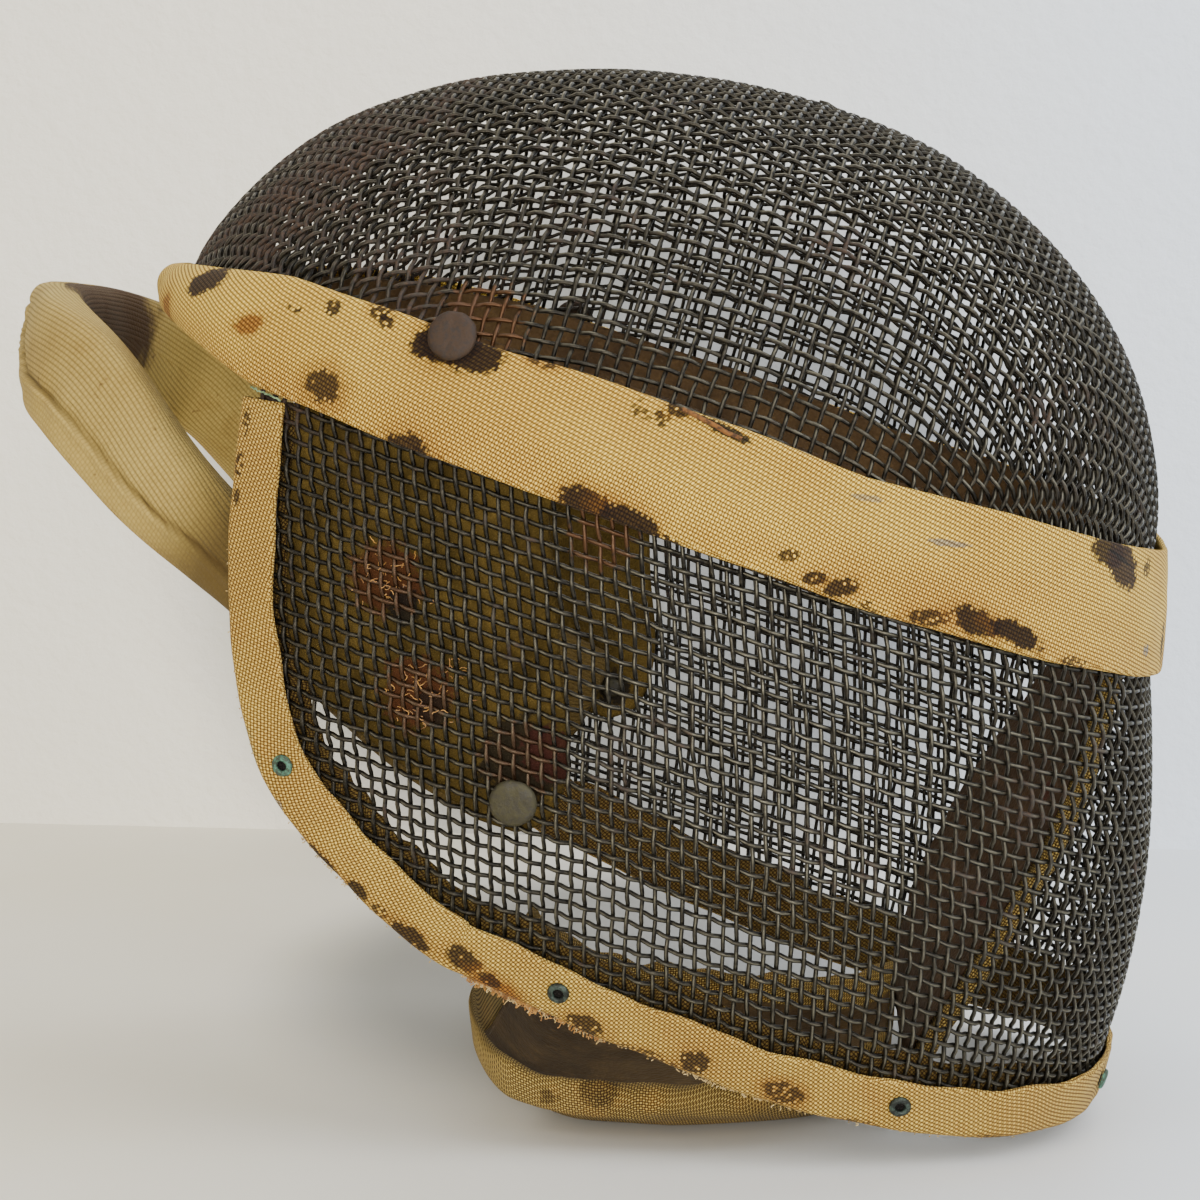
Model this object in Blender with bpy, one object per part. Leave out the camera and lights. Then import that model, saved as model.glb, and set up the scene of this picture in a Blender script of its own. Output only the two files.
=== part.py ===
"""Fencing mask with a woven wire crown and face, lying nose down on its bib.

The shell has a frame of its own: along runs forward, up stands square to the brow band and the
origin is the middle of the band. It is tilted nose down to lie as the object lies. Metres, +Z up,
+X forward, the wearer's right side at -Y.
"""

import math

import bmesh
import bpy
from mathutils import Vector

MM = 0.001
TILT = math.radians(17.3)
SHELL_AT = Vector((14.5, 0.0, 155.1))
GAP = 0.35

CROWN_HEIGHT = 86.4
CROWN_TOP_ALONG = 15.0
CROWN_FRONT = 103.5
CROWN_BACK = 129.0
CROWN_SIDE_POWER = 2.2
WIDEST_ALONG = -15.0
HALF_WIDTH = 95.0
FRONT_POWER = 3.2
BACK_POWER = 2.6

FACE_DEEP = 130.0
FACE_LEAN = 24.0
FACE_LEAN_DEEP = 97.0
FACE_BACK = 99.0
FACE_NARROWING = 22.0
FACE_NARROWING_POWER = 2.2

WIRE_WALL = 2.0
BAND_THICK = 1.5
BAND_ROOM = 0.9
BAND_FULLNESS = 0.5
INNER_BAND_INSET = 1.5
INNER_BAND_THICK = 1.6
BINDING_WIDE = 10.5
BINDING_INSIDE_WIDE = 12.0
BINDING_THICK = 1.3
BINDING_ROOM = 0.8
# The binding's flaps start this far in from the edge, clear of its fold.
BINDING_START = 0.01

# Each row is a station of the brow band: degrees round from the front, its lower and upper edges.
BAND = (
    (0.0, -14.0, 13.0),
    (20.0, -13.3, 13.6),
    (54.0, -13.0, 14.6),
    (72.0, -12.6, 13.6),
    (88.0, -10.7, 16.0),
    (110.0, -9.0, 16.5),
    (125.0, -8.2, 15.5),
    (138.0, -4.8, 13.0),
    (155.0, -2.5, 9.0),
    (180.0, -1.0, 7.0),
)

# Each row is a station of the face opening's edge: degrees round from the front, depth below the band.
RIM = (
    (0.0, -110.5),
    (11.4, -111.2),
    (26.4, -113.8),
    (45.7, -118.2),
    (67.8, -121.4),
    (79.6, -120.0),
    (87.6, -117.2),
    (98.7, -105.0),
    (112.4, -87.3),
    (120.2, -63.0),
    (124.0, -38.0),
    (125.5, -11.0),
)

# Each row is a station of the neck strap from the middle of the back to a temple: place of its
# centre, half of its width, half of its thickness, and how far its width leans forward in degrees.
STRAP = (
    (-127.5, 0.0, 180.5, 11.5, 7.0, 6.0),
    (-125.8, 22.0, 180.0, 12.0, 7.2, 8.0),
    (-119.0, 43.0, 175.5, 13.2, 7.5, 18.0),
    (-106.4, 57.0, 166.7, 13.8, 7.5, 36.0),
    (-89.2, 64.0, 148.4, 12.8, 7.2, 46.0),
    (-75.9, 67.0, 136.4, 11.6, 6.5, 48.0),
    (-64.3, 70.0, 126.5, 11.0, 6.0, 50.0),
    (-48.3, 74.0, 112.5, 11.0, 5.0, 50.0),
    (-28.3, 77.6, 96.5, 11.0, 3.5, 50.0),
    (-10.3, 79.2, 85.0, 10.0, 2.5, 50.0),
)
# How far the left half of the strap hangs lower than the right.
STRAP_SAG = 4.0

# Each row is a level of the temple pad: height against the band, its back and front ends along.
TEMPLE_PAD = (
    (-15.0, -63.0, -9.0),
    (-30.0, -60.0, -3.0),
    (-44.0, -56.0, 2.0),
    (-57.0, -52.0, 7.5),
    (-66.0, -48.0, 9.8),
    (-74.0, -32.0, 10.0),
    (-79.0, -16.0, 8.0),
    (-83.0, -6.0, 3.0),
)
TEMPLE_PAD_THICK = 2.6

# Each row is a station of the bib from its back lip: along, underside, half width, lift of its edges.
BIB = (
    (-23.2, 25.5, 46.0, 1.0),
    (-20.7, 16.0, 54.0, 3.0),
    (-13.7, 6.5, 59.0, 6.0),
    (-1.7, 0.8, 60.0, 8.5),
    (6.3, 0.0, 60.0, 8.0),
    (26.3, 0.0, 58.0, 7.0),
    (44.3, 0.0, 52.0, 7.5),
    (56.3, 0.8, 46.0, 9.0),
    (66.3, 5.0, 42.0, 9.0),
    (71.3, 11.0, 40.0, 7.0),
)
BIB_THICK = 4.0
BIB_ROLL = 3.4
# Parts of the bib's half width: where its edges start to lift, and the two sides of their roll.
BIB_LIFT_FROM = 0.5
BIB_ROLL_FROM = 0.9
BIB_ROLL_TO = 0.97
BIB_TOP_INSET = 0.985
LINING_THICK = 1.0
LINING_ROOM = 0.6

# Each row is a station of the chin pad's middle line, from the bib up to the inside of the band.
CHIN_PAD = (
    (75.3, 9.0),
    (79.2, 24.0),
    (86.8, 42.0),
    (96.5, 61.5),
    (108.1, 84.3),
    (121.4, 112.4),
)
CHIN_PAD_HALF = 31.0
CHIN_PAD_HALF_AT_TOP = 26.0
CHIN_PAD_THICK = 4.5
CHIN_PAD_SKEW = 14.0
CHIN_LINING_NARROWER = 3.5

RIVET_RADIUS = 5.2
RIVET_THICK = 1.7
RIVET_ROOM = 0.45
UPPER_RIVET = (-38.7, 15.0)
LOWER_RIVET = (1.0, -75.0)
EYELET_RADIUS = 2.4
EYELET_HOLE = 1.1
EYELET_THICK = 0.8
EYELET_ROOM = 0.5
# A head's edge is this part of its height, and its flat top this part of its radius.
HEAD_EDGE = 0.55
HEAD_TOP = 0.86
# Where the eyelets sit on the binding, as degrees round from the front.
EYELETS = (10.5, 56.0, 87.1, 112.5)

CROWN_COLUMNS = 56
CROWN_ROWS = 11
FACE_COLUMNS = 61
FACE_ROWS = 9
BINDING_STATIONS = 61
STRAP_STATIONS = 24
DISC_SIDES = 12


def to_world(along, side, up):
    """A point of the shell's own frame, in the world's millimetres."""
    cos, sin = math.cos(TILT), math.sin(TILT)
    return SHELL_AT + Vector((cos * along + sin * up, side, cos * up - sin * along))


def crown_section(up):
    """Front, back, widest place and half width of the crown at a height above the band."""
    rise = min(1.0, up / CROWN_HEIGHT)
    spread = math.sqrt(max(0.0, 1.0 - rise * rise))
    side = max(0.0, 1.0 - rise**CROWN_SIDE_POWER) ** (1.0 / CROWN_SIDE_POWER)
    widest = WIDEST_ALONG + (CROWN_TOP_ALONG - WIDEST_ALONG) * rise
    front = CROWN_TOP_ALONG + CROWN_FRONT * spread
    back = CROWN_TOP_ALONG - CROWN_BACK * spread
    return front, back, widest, HALF_WIDTH * side


def face_section(up):
    """The same for the face, at a depth below the band."""
    deep = -up
    lean = 1.0 - max(0.0, 1.0 - deep / FACE_LEAN_DEEP) ** 2
    front = CROWN_TOP_ALONG + CROWN_FRONT + FACE_LEAN * lean
    widest = WIDEST_ALONG * (1.0 - deep / FACE_DEEP)
    narrow = FACE_NARROWING * (deep / FACE_DEEP) ** FACE_NARROWING_POWER
    return front, widest - FACE_BACK, widest, HALF_WIDTH - narrow


def skin(angle, up):
    """A point of the shell's outer skin. The angle runs from the front, positive to the right side."""
    front, back, widest, half = crown_section(up) if up >= 0.0 else face_section(up)
    cos, sin = math.cos(angle), math.sin(angle)
    if cos >= 0.0:
        reach, power = front - widest, 2.0 / FRONT_POWER
    else:
        reach, power = widest - back, 2.0 / BACK_POWER
    along = widest + math.copysign(reach * abs(cos) ** power, cos)
    side = -math.copysign(half * abs(sin) ** power, sin)
    return to_world(along, side, up)


def slopes(angle, up):
    """How the skin runs per radian round and per millimetre up."""
    turn, rise = 0.01, 0.3
    low, high = up - rise, up + rise
    if up >= 0.0:
        low, high = max(0.0, low), min(CROWN_HEIGHT, high)
    else:
        high = min(-0.001, high)
    round_it = (skin(angle + turn, up) - skin(angle - turn, up)) / (2.0 * turn)
    up_it = (skin(angle, high) - skin(angle, low)) / (high - low)
    return round_it, up_it


def outwards(angle, up):
    if up > CROWN_HEIGHT - 0.01:
        return (to_world(0.0, 0.0, 1.0) - to_world(0.0, 0.0, 0.0)).normalized()
    round_it, up_it = slopes(angle, up)
    return up_it.cross(round_it).normalized()


def shell(angle, up, out=0.0):
    """A point of the shell, pushed out of its skin by some millimetres."""
    return skin(angle, up) + outwards(angle, up) * out


def stepped(angle, up, step):
    """The skin's own coordinates after a step across it, given as a vector in millimetres."""
    target = skin(angle, up) + step
    up += step.dot(to_world(0.0, 0.0, 1.0) - to_world(0.0, 0.0, 0.0))
    low, high = angle - 0.5, angle + 0.5
    for _ in range(30):
        one, two = low + (high - low) / 3.0, high - (high - low) / 3.0
        if (skin(one, up) - target).length < (skin(two, up) - target).length:
            high = two
        else:
            low = one
    return (low + high) / 2.0, up


def evenly(stations, count):
    """Some of a fine list of (angle, up) stations, at even steps along the skin."""
    far = [0.0]
    for one, two in zip(stations, stations[1:]):
        far.append(far[-1] + (skin(*two) - skin(*one)).length)
    found, i = [], 0
    for step in range(count):
        at = far[-1] * step / (count - 1)
        while i < len(far) - 2 and far[i + 1] < at:
            i += 1
        part = (at - far[i]) / (far[i + 1] - far[i])
        found.append(tuple(a + (b - a) * part for a, b in zip(stations[i], stations[i + 1])))
    return found


def column_angles(count):
    """Angles at even steps all round the seam of crown and face."""
    fine = [(math.pi * i / 1440.0, 0.0) for i in range(1441)]
    half = [angle for angle, _ in evenly(fine, count // 2 + 1)]
    return half + [-angle for angle in reversed(half[1:-1])]


def curve_through(rows, count):
    """Rows of numbers read at even steps from a smooth curve through a table's rows."""
    last = len(rows) - 1
    lengths = [0.0]
    for one, two in zip(rows, rows[1:]):
        lengths.append(lengths[-1] + math.dist(one[:3], two[:3]))
    found = []
    for step in range(count):
        at = lengths[-1] * step / (count - 1)
        i = min(last - 1, max(k for k in range(last + 1) if lengths[k] <= at + 1e-9))
        t = (at - lengths[i]) / (lengths[i + 1] - lengths[i])
        before, after = rows[max(0, i - 1)], rows[min(last, i + 2)]
        row = []
        for a, b, c, d in zip(before, rows[i], rows[i + 1], after):
            m, n = (c - a) / 2.0, (d - b) / 2.0
            row.append(
                (2 * t**3 - 3 * t**2 + 1) * b
                + (t**3 - 2 * t**2 + t) * m
                + (3 * t**2 - 2 * t**3) * c
                + (t**3 - t**2) * n
            )
        found.append(tuple(row))
    return found


def material(name, colour, rough, metallic=0.0):
    made = bpy.data.materials.new(name)
    made.use_nodes = True
    made.diffuse_color = (*colour, 1.0)
    bsdf = made.node_tree.nodes["Principled BSDF"]
    bsdf.inputs["Base Color"].default_value = (*colour, 1.0)
    bsdf.inputs["Roughness"].default_value = rough
    bsdf.inputs["Metallic"].default_value = metallic
    return made


def loft(name, rings, finish, round_again=False):
    """One closed solid through rings of points in millimetres. It ends in caps or runs round again."""
    mesh = bmesh.new()
    made = [[mesh.verts.new(point * MM) for point in ring] for ring in rings]
    pairs = list(zip(made, made[1:]))
    if round_again:
        pairs.append((made[-1], made[0]))
    else:
        mesh.faces.new(made[0])
        mesh.faces.new(made[-1][::-1])
    for one, two in pairs:
        for i in range(len(one)):
            j = (i + 1) % len(one)
            mesh.faces.new((one[i], two[i], two[j], one[j]))
    bmesh.ops.remove_doubles(mesh, verts=mesh.verts[:], dist=1e-7)
    bmesh.ops.dissolve_degenerate(mesh, edges=mesh.edges[:], dist=1e-8)
    bmesh.ops.recalc_face_normals(mesh, faces=mesh.faces[:])
    data = bpy.data.meshes.new(name)
    mesh.to_mesh(data)
    mesh.free()
    if data.polygons and sum_volume(data) < 0.0:
        data.flip_normals()
    data.shade_smooth()
    data.set_sharp_from_angle(angle=math.radians(35))
    data.materials.append(finish)
    made_object = bpy.data.objects.new(name, data)
    bpy.context.scene.collection.objects.link(made_object)
    return made_object


def sum_volume(data):
    data.calc_loop_triangles()
    total = 0.0
    for triangle in data.loop_triangles:
        a, b, c = (data.vertices[i].co for i in triangle.vertices)
        total += a.dot(b.cross(c))
    return total


def crown_mesh():
    """The wire crown as a wall, from just above the seam under the band to its top."""
    rings = []
    for angle in column_angles(CROWN_COLUMNS):
        climb = [math.pi / 2.0 * row / CROWN_ROWS for row in range(CROWN_ROWS + 1)]
        ups = [max(GAP, CROWN_HEIGHT * math.sin(part)) for part in climb]
        outer = [shell(angle, up) for up in ups]
        inner = [shell(angle, up, -WIRE_WALL) for up in reversed(ups)]
        rings.append(outer + inner)
    return loft("crown_mesh", rings, STEEL, round_again=True)


def rim_stations(count):
    """(angle, up) along the face opening's edge from the right temple round the chin to the left."""
    rows = [(deg, up, 0.0) for deg, up in RIM]
    fine = [(math.radians(deg), up) for deg, up, _ in curve_through(rows, 400)]
    half = evenly(fine, count // 2 + 1)
    return half[::-1] + [(-angle, up) for angle, up in half[1:]]


def face_mesh():
    """The wire face as a wall, from the seam under the band down to the opening's edge."""
    rings = []
    for angle, up in rim_stations(FACE_COLUMNS):
        ups = [-GAP + (up + GAP) * row / FACE_ROWS for row in range(FACE_ROWS + 1)]
        outer = [shell(angle, at) for at in ups]
        inner = [shell(angle, at, -WIRE_WALL) for at in reversed(ups)]
        rings.append(outer + inner)
    return loft("face_mesh", rings, STEEL)


def band_edges(angle):
    """The brow band's lower and upper edges at some angle round from the front."""
    degrees = abs(math.degrees(angle))
    i = max(k for k in range(len(BAND) - 1) if BAND[k][0] <= degrees + 1e-6)
    (start, *one), (end, *two) = BAND[i], BAND[i + 1]
    part = (degrees - start) / (end - start)
    return [a + (b - a) * part for a, b in zip(one, two)]


def band_rows(angle, inset, off, fullness):
    """Three points across a band. It bridges the seam's hollow if it is given some fullness."""
    low, high = band_edges(angle)
    low, middle, high = low + inset, (low + high) / 2.0, high - inset
    bottom, seam, top = (shell(angle, up, off) for up in (low, middle, high))
    if fullness:
        out = outwards(angle, middle)
        seam += out * max(0.0, ((bottom + top) / 2.0 - seam).dot(out) + fullness)
    return [bottom, seam, top]


def ring_band(name, inset, near, far, finish, fullness=0.0):
    """A band all round the shell between two distances from its skin."""
    rings = []
    for angle in column_angles(CROWN_COLUMNS):
        far_side = band_rows(angle, inset, far, fullness)
        near_side = band_rows(angle, inset, near, fullness)
        rings.append(far_side + near_side[::-1])
    return loft(name, rings, finish, round_again=True)


def rim_frame(stations, k):
    """The edge's outward normal and its direction into the mesh, at one station."""
    before, after = stations[max(0, k - 1)], stations[min(len(stations) - 1, k + 1)]
    run = (skin(*after) - skin(*before)).normalized()
    out = outwards(*stations[k])
    return out, out.cross(run).normalized()


def rim_binding():
    """Canvas folded over the face mesh's edge: a channel with its two flaps on the skin."""
    stations = rim_stations(BINDING_STATIONS)
    steps = (0.0, 0.5, 1.0)
    rings = []
    for k, (angle, up) in enumerate(stations):
        out, inwards = rim_frame(stations, k)
        top = BINDING_ROOM + BINDING_THICK
        bottom = -WIRE_WALL - top

        def flap(wide, off, order):
            points = []
            for part in order:
                there = stepped(angle, up, inwards * (wide * part + BINDING_START))
                points.append(shell(*there, off))
            return points

        edge = skin(angle, up)
        beyond = BINDING_ROOM + BINDING_THICK
        ring = flap(BINDING_WIDE, top, reversed(steps))
        ring.append(edge - inwards * beyond + out * (BINDING_ROOM * 0.5))
        ring.append(edge - inwards * beyond - out * (WIRE_WALL + BINDING_ROOM * 0.5))
        ring += flap(BINDING_INSIDE_WIDE, bottom, steps)
        ring += flap(BINDING_INSIDE_WIDE, -WIRE_WALL - BINDING_ROOM, reversed(steps))
        ring.append(edge - inwards * BINDING_ROOM - out * (WIRE_WALL / 2.0))
        ring += flap(BINDING_WIDE, BINDING_ROOM, steps)
        rings.append(ring)
    return loft("rim_binding", rings, CANVAS)


def oblong(centre, wide, wide_axis, thick, thick_axis, sides=10):
    """A ring of points round a strap's centre: a rectangle with round corners."""
    ring = []
    for i in range(sides):
        turn = 2.0 * math.pi * (i + 0.5) / sides
        a = math.copysign(abs(math.cos(turn)) ** 0.5, math.cos(turn))
        b = math.copysign(abs(math.sin(turn)) ** 0.5, math.sin(turn))
        ring.append(centre + wide_axis * (wide * a) + thick_axis * (thick * b))
    return ring


def neck_strap():
    """The padded strap from temple to temple round the back of the opening."""
    half = curve_through(STRAP, STRAP_STATIONS)
    rows = []
    for k in range(len(half) - 1, 0, -1):
        x, y, z, *rest = half[k]
        rows.append((x, y, z - STRAP_SAG * math.sin(math.pi * k / (len(half) - 1)), *rest))
    rows += [(x, -y, *rest) for x, y, *rest in half]
    centres = [Vector(row[:3]) for row in rows]
    rings = []
    for k, row in enumerate(rows):
        run = centres[min(k + 1, len(rows) - 1)] - centres[max(k - 1, 0)]
        lean = math.radians(row[5])
        wide_axis = Vector((math.sin(lean), 0.0, math.cos(lean)))
        thick_axis = run.cross(wide_axis).normalized()
        wide_axis = thick_axis.cross(run).normalized()
        rings.append(oblong(centres[k], row[3], wide_axis, row[4], thick_axis))
    return loft("neck_strap", rings, CANVAS)


def angle_at(along, up):
    """How far round the right side a point of the skin lies, from its place along."""
    front, back, widest, _ = crown_section(up) if up >= 0.0 else face_section(up)
    if along >= widest:
        part = (along - widest) / (front - widest)
        return math.acos(min(1.0, part ** (FRONT_POWER / 2.0)))
    part = (widest - along) / (widest - back)
    return math.pi - math.acos(min(1.0, part ** (BACK_POWER / 2.0)))


def temple_pad(name, side):
    """A leather pad inside the mesh at one temple. The side is 1 on the right."""
    near = -WIRE_WALL - GAP
    rings = []
    for up, back, front in TEMPLE_PAD:
        alongs = [back + (front - back) * i / 6.0 for i in range(7)]
        angles = [side * angle_at(along, up) for along in alongs]
        ring = [shell(angle, up, near) for angle in angles]
        ring += [shell(a, up, near - TEMPLE_PAD_THICK) for a in reversed(angles)]
        rings.append(ring)
    return loft(name, rings, LEATHER)


def bib_edge_lift(part, lift):
    """How far the bib's cross-section has risen, part of the way from its middle to an edge."""
    return lift * max(0.0, (part - BIB_LIFT_FROM) / (1.0 - BIB_LIFT_FROM)) ** 2


def throat_bib():
    """The bib's canvas body: a shallow trough with rolled edges, flat where it lies."""
    parts = [-1.0, -0.94, -0.8, -0.62, -0.45, 0.0, 0.45, 0.62, 0.8, 0.94, 1.0]
    rings = []
    for x, z, half, lift in curve_through(BIB, 19):
        ring = []
        for part in parts:
            ring.append(Vector((x, half * part, max(0.0, z) + bib_edge_lift(abs(part), lift))))
        for part in reversed(parts):
            high = BIB_THICK + (BIB_ROLL if BIB_ROLL_FROM < abs(part) < BIB_ROLL_TO else 0.0)
            rise = max(0.0, z) + bib_edge_lift(abs(part), lift)
            inset = BIB_TOP_INSET if abs(part) == 1.0 else 1.0
            ring.append(Vector((x, half * part * inset, rise + high)))
        rings.append(ring)
    return loft("throat_bib", rings, CANVAS)


def bib_lining():
    """Leather laid in the bib, inside its rolled edges."""
    parts = [-0.8, -0.62, -0.45, 0.0, 0.45, 0.62, 0.8]
    rings = []
    for x, z, half, lift in curve_through(BIB, 19)[1:-1]:
        base = max(0.0, z) + BIB_THICK + LINING_ROOM
        under = [Vector((x, half * p, base + bib_edge_lift(abs(p), lift))) for p in parts]
        over = [point + Vector((0.0, 0.0, LINING_THICK)) for point in reversed(under)]
        rings.append(under + over)
    return loft("bib_lining", rings, LEATHER)


def chin_strip(name, off, thick, narrower, finish, trim=0):
    """A strip up from the bib to the band's inside, some millimetres off the pad's middle sheet."""
    rows = curve_through([(x, z, 0.0) for x, z in CHIN_PAD], 13)
    rings = []
    for k, (x, z, _) in enumerate(rows):
        one, two = rows[max(0, k - 1)], rows[min(len(rows) - 1, k + 1)]
        run = Vector((two[0] - one[0], 0.0, two[1] - one[1])).normalized()
        part = k / (len(rows) - 1)
        half = CHIN_PAD_HALF + (CHIN_PAD_HALF_AT_TOP - CHIN_PAD_HALF) * part - narrower
        skew = CHIN_PAD_SKEW * math.sin(math.pi * part)
        across = Vector((skew, -CHIN_PAD_HALF, 0.0)).normalized()
        back = run.cross(across).normalized()
        if back.x > 0.0:
            back.negate()
        middle = Vector((x, 0.0, z)) + back * off
        ring = [middle + across * (half * p) - back * (thick / 2.0) for p in (-1, -0.5, 0, 0.5, 1)]
        ring += [middle + across * (half * p) + back * (thick / 2.0) for p in (1, 0.5, 0, -0.5, -1)]
        rings.append(ring)
    return loft(name, rings[trim:len(rings) - trim], finish)


def disc(name, centre, out, radius, thick, finish, hole=0.0):
    """A flat round head, its edge turned over, with or without a hole."""
    aside = out.orthogonal().normalized()
    other = out.cross(aside)
    edge, top = thick * HEAD_EDGE, radius * HEAD_TOP
    profile = [(hole, 0.0), (radius, 0.0), (radius, edge), (top, thick), (hole, thick)]
    rings = []
    for i in range(DISC_SIDES):
        turn = 2.0 * math.pi * i / DISC_SIDES
        ray = aside * math.cos(turn) + other * math.sin(turn)
        rings.append([centre + ray * r + out * h for r, h in profile])
    return loft(name, rings, finish, round_again=True)


def rivets():
    for side, word in ((1, "right"), (-1, "left")):
        along, up = UPPER_RIVET
        angle = side * angle_at(along, up)
        seat = BAND_ROOM + BAND_THICK + 2.0 * GAP
        disc(f"upper_rivet_{word}", shell(angle, up, seat), outwards(angle, up),
             RIVET_RADIUS, RIVET_THICK, RUST)
        along, up = LOWER_RIVET
        angle = side * angle_at(along, up)
        disc(f"lower_rivet_{word}", shell(angle, up, RIVET_ROOM), outwards(angle, up),
             RIVET_RADIUS, RIVET_THICK, TIN)


def eyelets():
    """Hollow eyelets through the binding, four on each side."""
    stations = rim_stations(400)
    for number, degrees in enumerate(EYELETS):
        for side, word in ((1, "right"), (-1, "left")):
            want = side * math.radians(degrees)
            k = min(range(len(stations)), key=lambda i: abs(stations[i][0] - want))
            out, inwards = rim_frame(stations, k)
            there = stepped(*stations[k], inwards * (BINDING_WIDE * 0.5))
            seat = BINDING_ROOM + BINDING_THICK + EYELET_ROOM
            disc(f"eyelet_{word}_{number + 1}", shell(*there, seat), outwards(*there),
                 EYELET_RADIUS, EYELET_THICK, BRASS, EYELET_HOLE)


for old in list(bpy.data.objects):
    bpy.data.objects.remove(old, do_unlink=True)

STEEL = material("woven steel wire", (0.09, 0.08, 0.07), 0.5, 0.8)
CANVAS = material("cream canvas", (0.62, 0.48, 0.26), 0.9)
LEATHER = material("brown leather", (0.12, 0.08, 0.05), 0.75)
RUST = material("rusty steel", (0.12, 0.08, 0.06), 0.7, 0.4)
TIN = material("grey steel", (0.18, 0.17, 0.14), 0.5, 0.6)
BRASS = material("tarnished brass", (0.10, 0.13, 0.10), 0.6, 0.5)

crown_mesh()
face_mesh()
ring_band("brow_band", 0.0, BAND_ROOM, BAND_ROOM + BAND_THICK, CANVAS, BAND_FULLNESS)
ring_band("inner_band", INNER_BAND_INSET, -WIRE_WALL - BAND_ROOM - INNER_BAND_THICK,
          -WIRE_WALL - BAND_ROOM, LEATHER)
rim_binding()
neck_strap()
temple_pad("temple_pad_right", 1)
temple_pad("temple_pad_left", -1)
throat_bib()
bib_lining()
chin_strip("chin_pad", 0.0, CHIN_PAD_THICK, 0.0, CANVAS)
chin_strip("chin_pad_lining", CHIN_PAD_THICK / 2.0 + 3.0 * GAP + LINING_THICK / 2.0,
           LINING_THICK, CHIN_LINING_NARROWER, LEATHER, trim=1)
rivets()
eyelets()
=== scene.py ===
"""The looks of an old fencing mask: woven wires, canvas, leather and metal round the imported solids.

Shapes are worked out in millimetres and become metres in the meshes. The shell has its own frame, as in
the solids: along runs forward, side to the wearer's left, and up stands square to the brow band. An angle
round it starts at the front and is positive to the wearer's right.
"""

import math

import bmesh
import bpy
import numpy as np
from mathutils import Matrix, Vector


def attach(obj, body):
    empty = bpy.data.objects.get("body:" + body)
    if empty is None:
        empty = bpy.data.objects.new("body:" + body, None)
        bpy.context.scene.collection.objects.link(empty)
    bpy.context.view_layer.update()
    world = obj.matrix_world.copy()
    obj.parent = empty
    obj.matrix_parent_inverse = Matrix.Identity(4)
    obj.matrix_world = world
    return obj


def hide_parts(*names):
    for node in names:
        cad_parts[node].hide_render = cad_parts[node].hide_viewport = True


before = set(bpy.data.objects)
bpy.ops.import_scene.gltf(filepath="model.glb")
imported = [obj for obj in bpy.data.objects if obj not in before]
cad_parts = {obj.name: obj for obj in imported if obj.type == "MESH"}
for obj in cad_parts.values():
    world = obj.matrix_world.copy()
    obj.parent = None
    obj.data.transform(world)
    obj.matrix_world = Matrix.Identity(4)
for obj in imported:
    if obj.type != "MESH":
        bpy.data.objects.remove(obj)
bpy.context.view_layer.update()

MM = 0.001
ROOT = "root"

# The shell, as the solids have it.
TILT = math.radians(17.3)
SHELL_AT = np.array((14.5, 0.0, 155.1))
CROWN_HEIGHT = 86.4
CROWN_TOP_ALONG = 15.0
CROWN_FRONT = 103.5
CROWN_BACK = 129.0
CROWN_SIDE_POWER = 2.2
WIDEST_ALONG = -15.0
HALF_WIDTH = 95.0
FRONT_POWER = 3.2
BACK_POWER = 2.6
FACE_DEEP = 130.0
FACE_LEAN = 24.0
FACE_LEAN_DEEP = 97.0
FACE_BACK = 99.0
FACE_NARROWING = 22.0
FACE_NARROWING_POWER = 2.2

# Degrees round from the front, the brow band's lower and upper edges.
BAND = (
    (0.0, -14.0, 13.0),
    (20.0, -13.3, 13.6),
    (54.0, -13.0, 14.6),
    (72.0, -12.6, 13.6),
    (88.0, -10.7, 16.0),
    (110.0, -9.0, 16.5),
    (125.0, -8.2, 15.5),
    (138.0, -4.8, 13.0),
    (155.0, -2.5, 9.0),
    (180.0, -1.0, 7.0),
)

# Degrees round from the front, depth of the opening's edge below the band.
RIM = (
    (0.0, -110.5),
    (11.4, -111.2),
    (26.4, -113.8),
    (45.7, -118.2),
    (67.8, -121.4),
    (79.6, -120.0),
    (87.6, -117.2),
    (98.7, -105.0),
    (112.4, -87.3),
    (120.2, -63.0),
    (124.0, -38.0),
    (125.5, -11.0),
)

# The neck strap's centre from the middle of the back to a temple, half of its width, half of its
# thickness, and how far its width leans forward in degrees.
STRAP = (
    (-127.5, 0.0, 180.5, 11.5, 7.0, 6.0),
    (-125.8, 22.0, 180.0, 12.0, 7.2, 8.0),
    (-119.0, 43.0, 175.5, 13.2, 7.5, 18.0),
    (-106.4, 57.0, 166.7, 13.8, 7.5, 36.0),
    (-89.2, 64.0, 148.4, 12.8, 7.2, 46.0),
    (-75.9, 67.0, 136.4, 11.6, 6.5, 48.0),
    (-64.3, 70.0, 126.5, 11.0, 6.0, 50.0),
    (-48.3, 74.0, 112.5, 11.0, 5.0, 50.0),
    (-28.3, 77.6, 96.5, 11.0, 3.5, 50.0),
    (-10.3, 79.2, 85.0, 10.0, 2.5, 50.0),
)
# How far the left half of the strap hangs lower than the right, how much further its bend droops,
# and how much fuller its half width is there.
STRAP_SAG = 4.0
STRAP_DROOP = 4.0
STRAP_FULLER = 2.6

# A temple pad's height against the band, its back and front ends along.
TEMPLE_PAD = (
    (-15.0, -63.0, -9.0),
    (-30.0, -60.0, -3.0),
    (-44.0, -56.0, 2.0),
    (-57.0, -52.0, 7.5),
    (-66.0, -48.0, 9.8),
    (-74.0, -32.0, 10.0),
    (-79.0, -16.0, 8.0),
    (-83.0, -6.0, 3.0),
)

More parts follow.
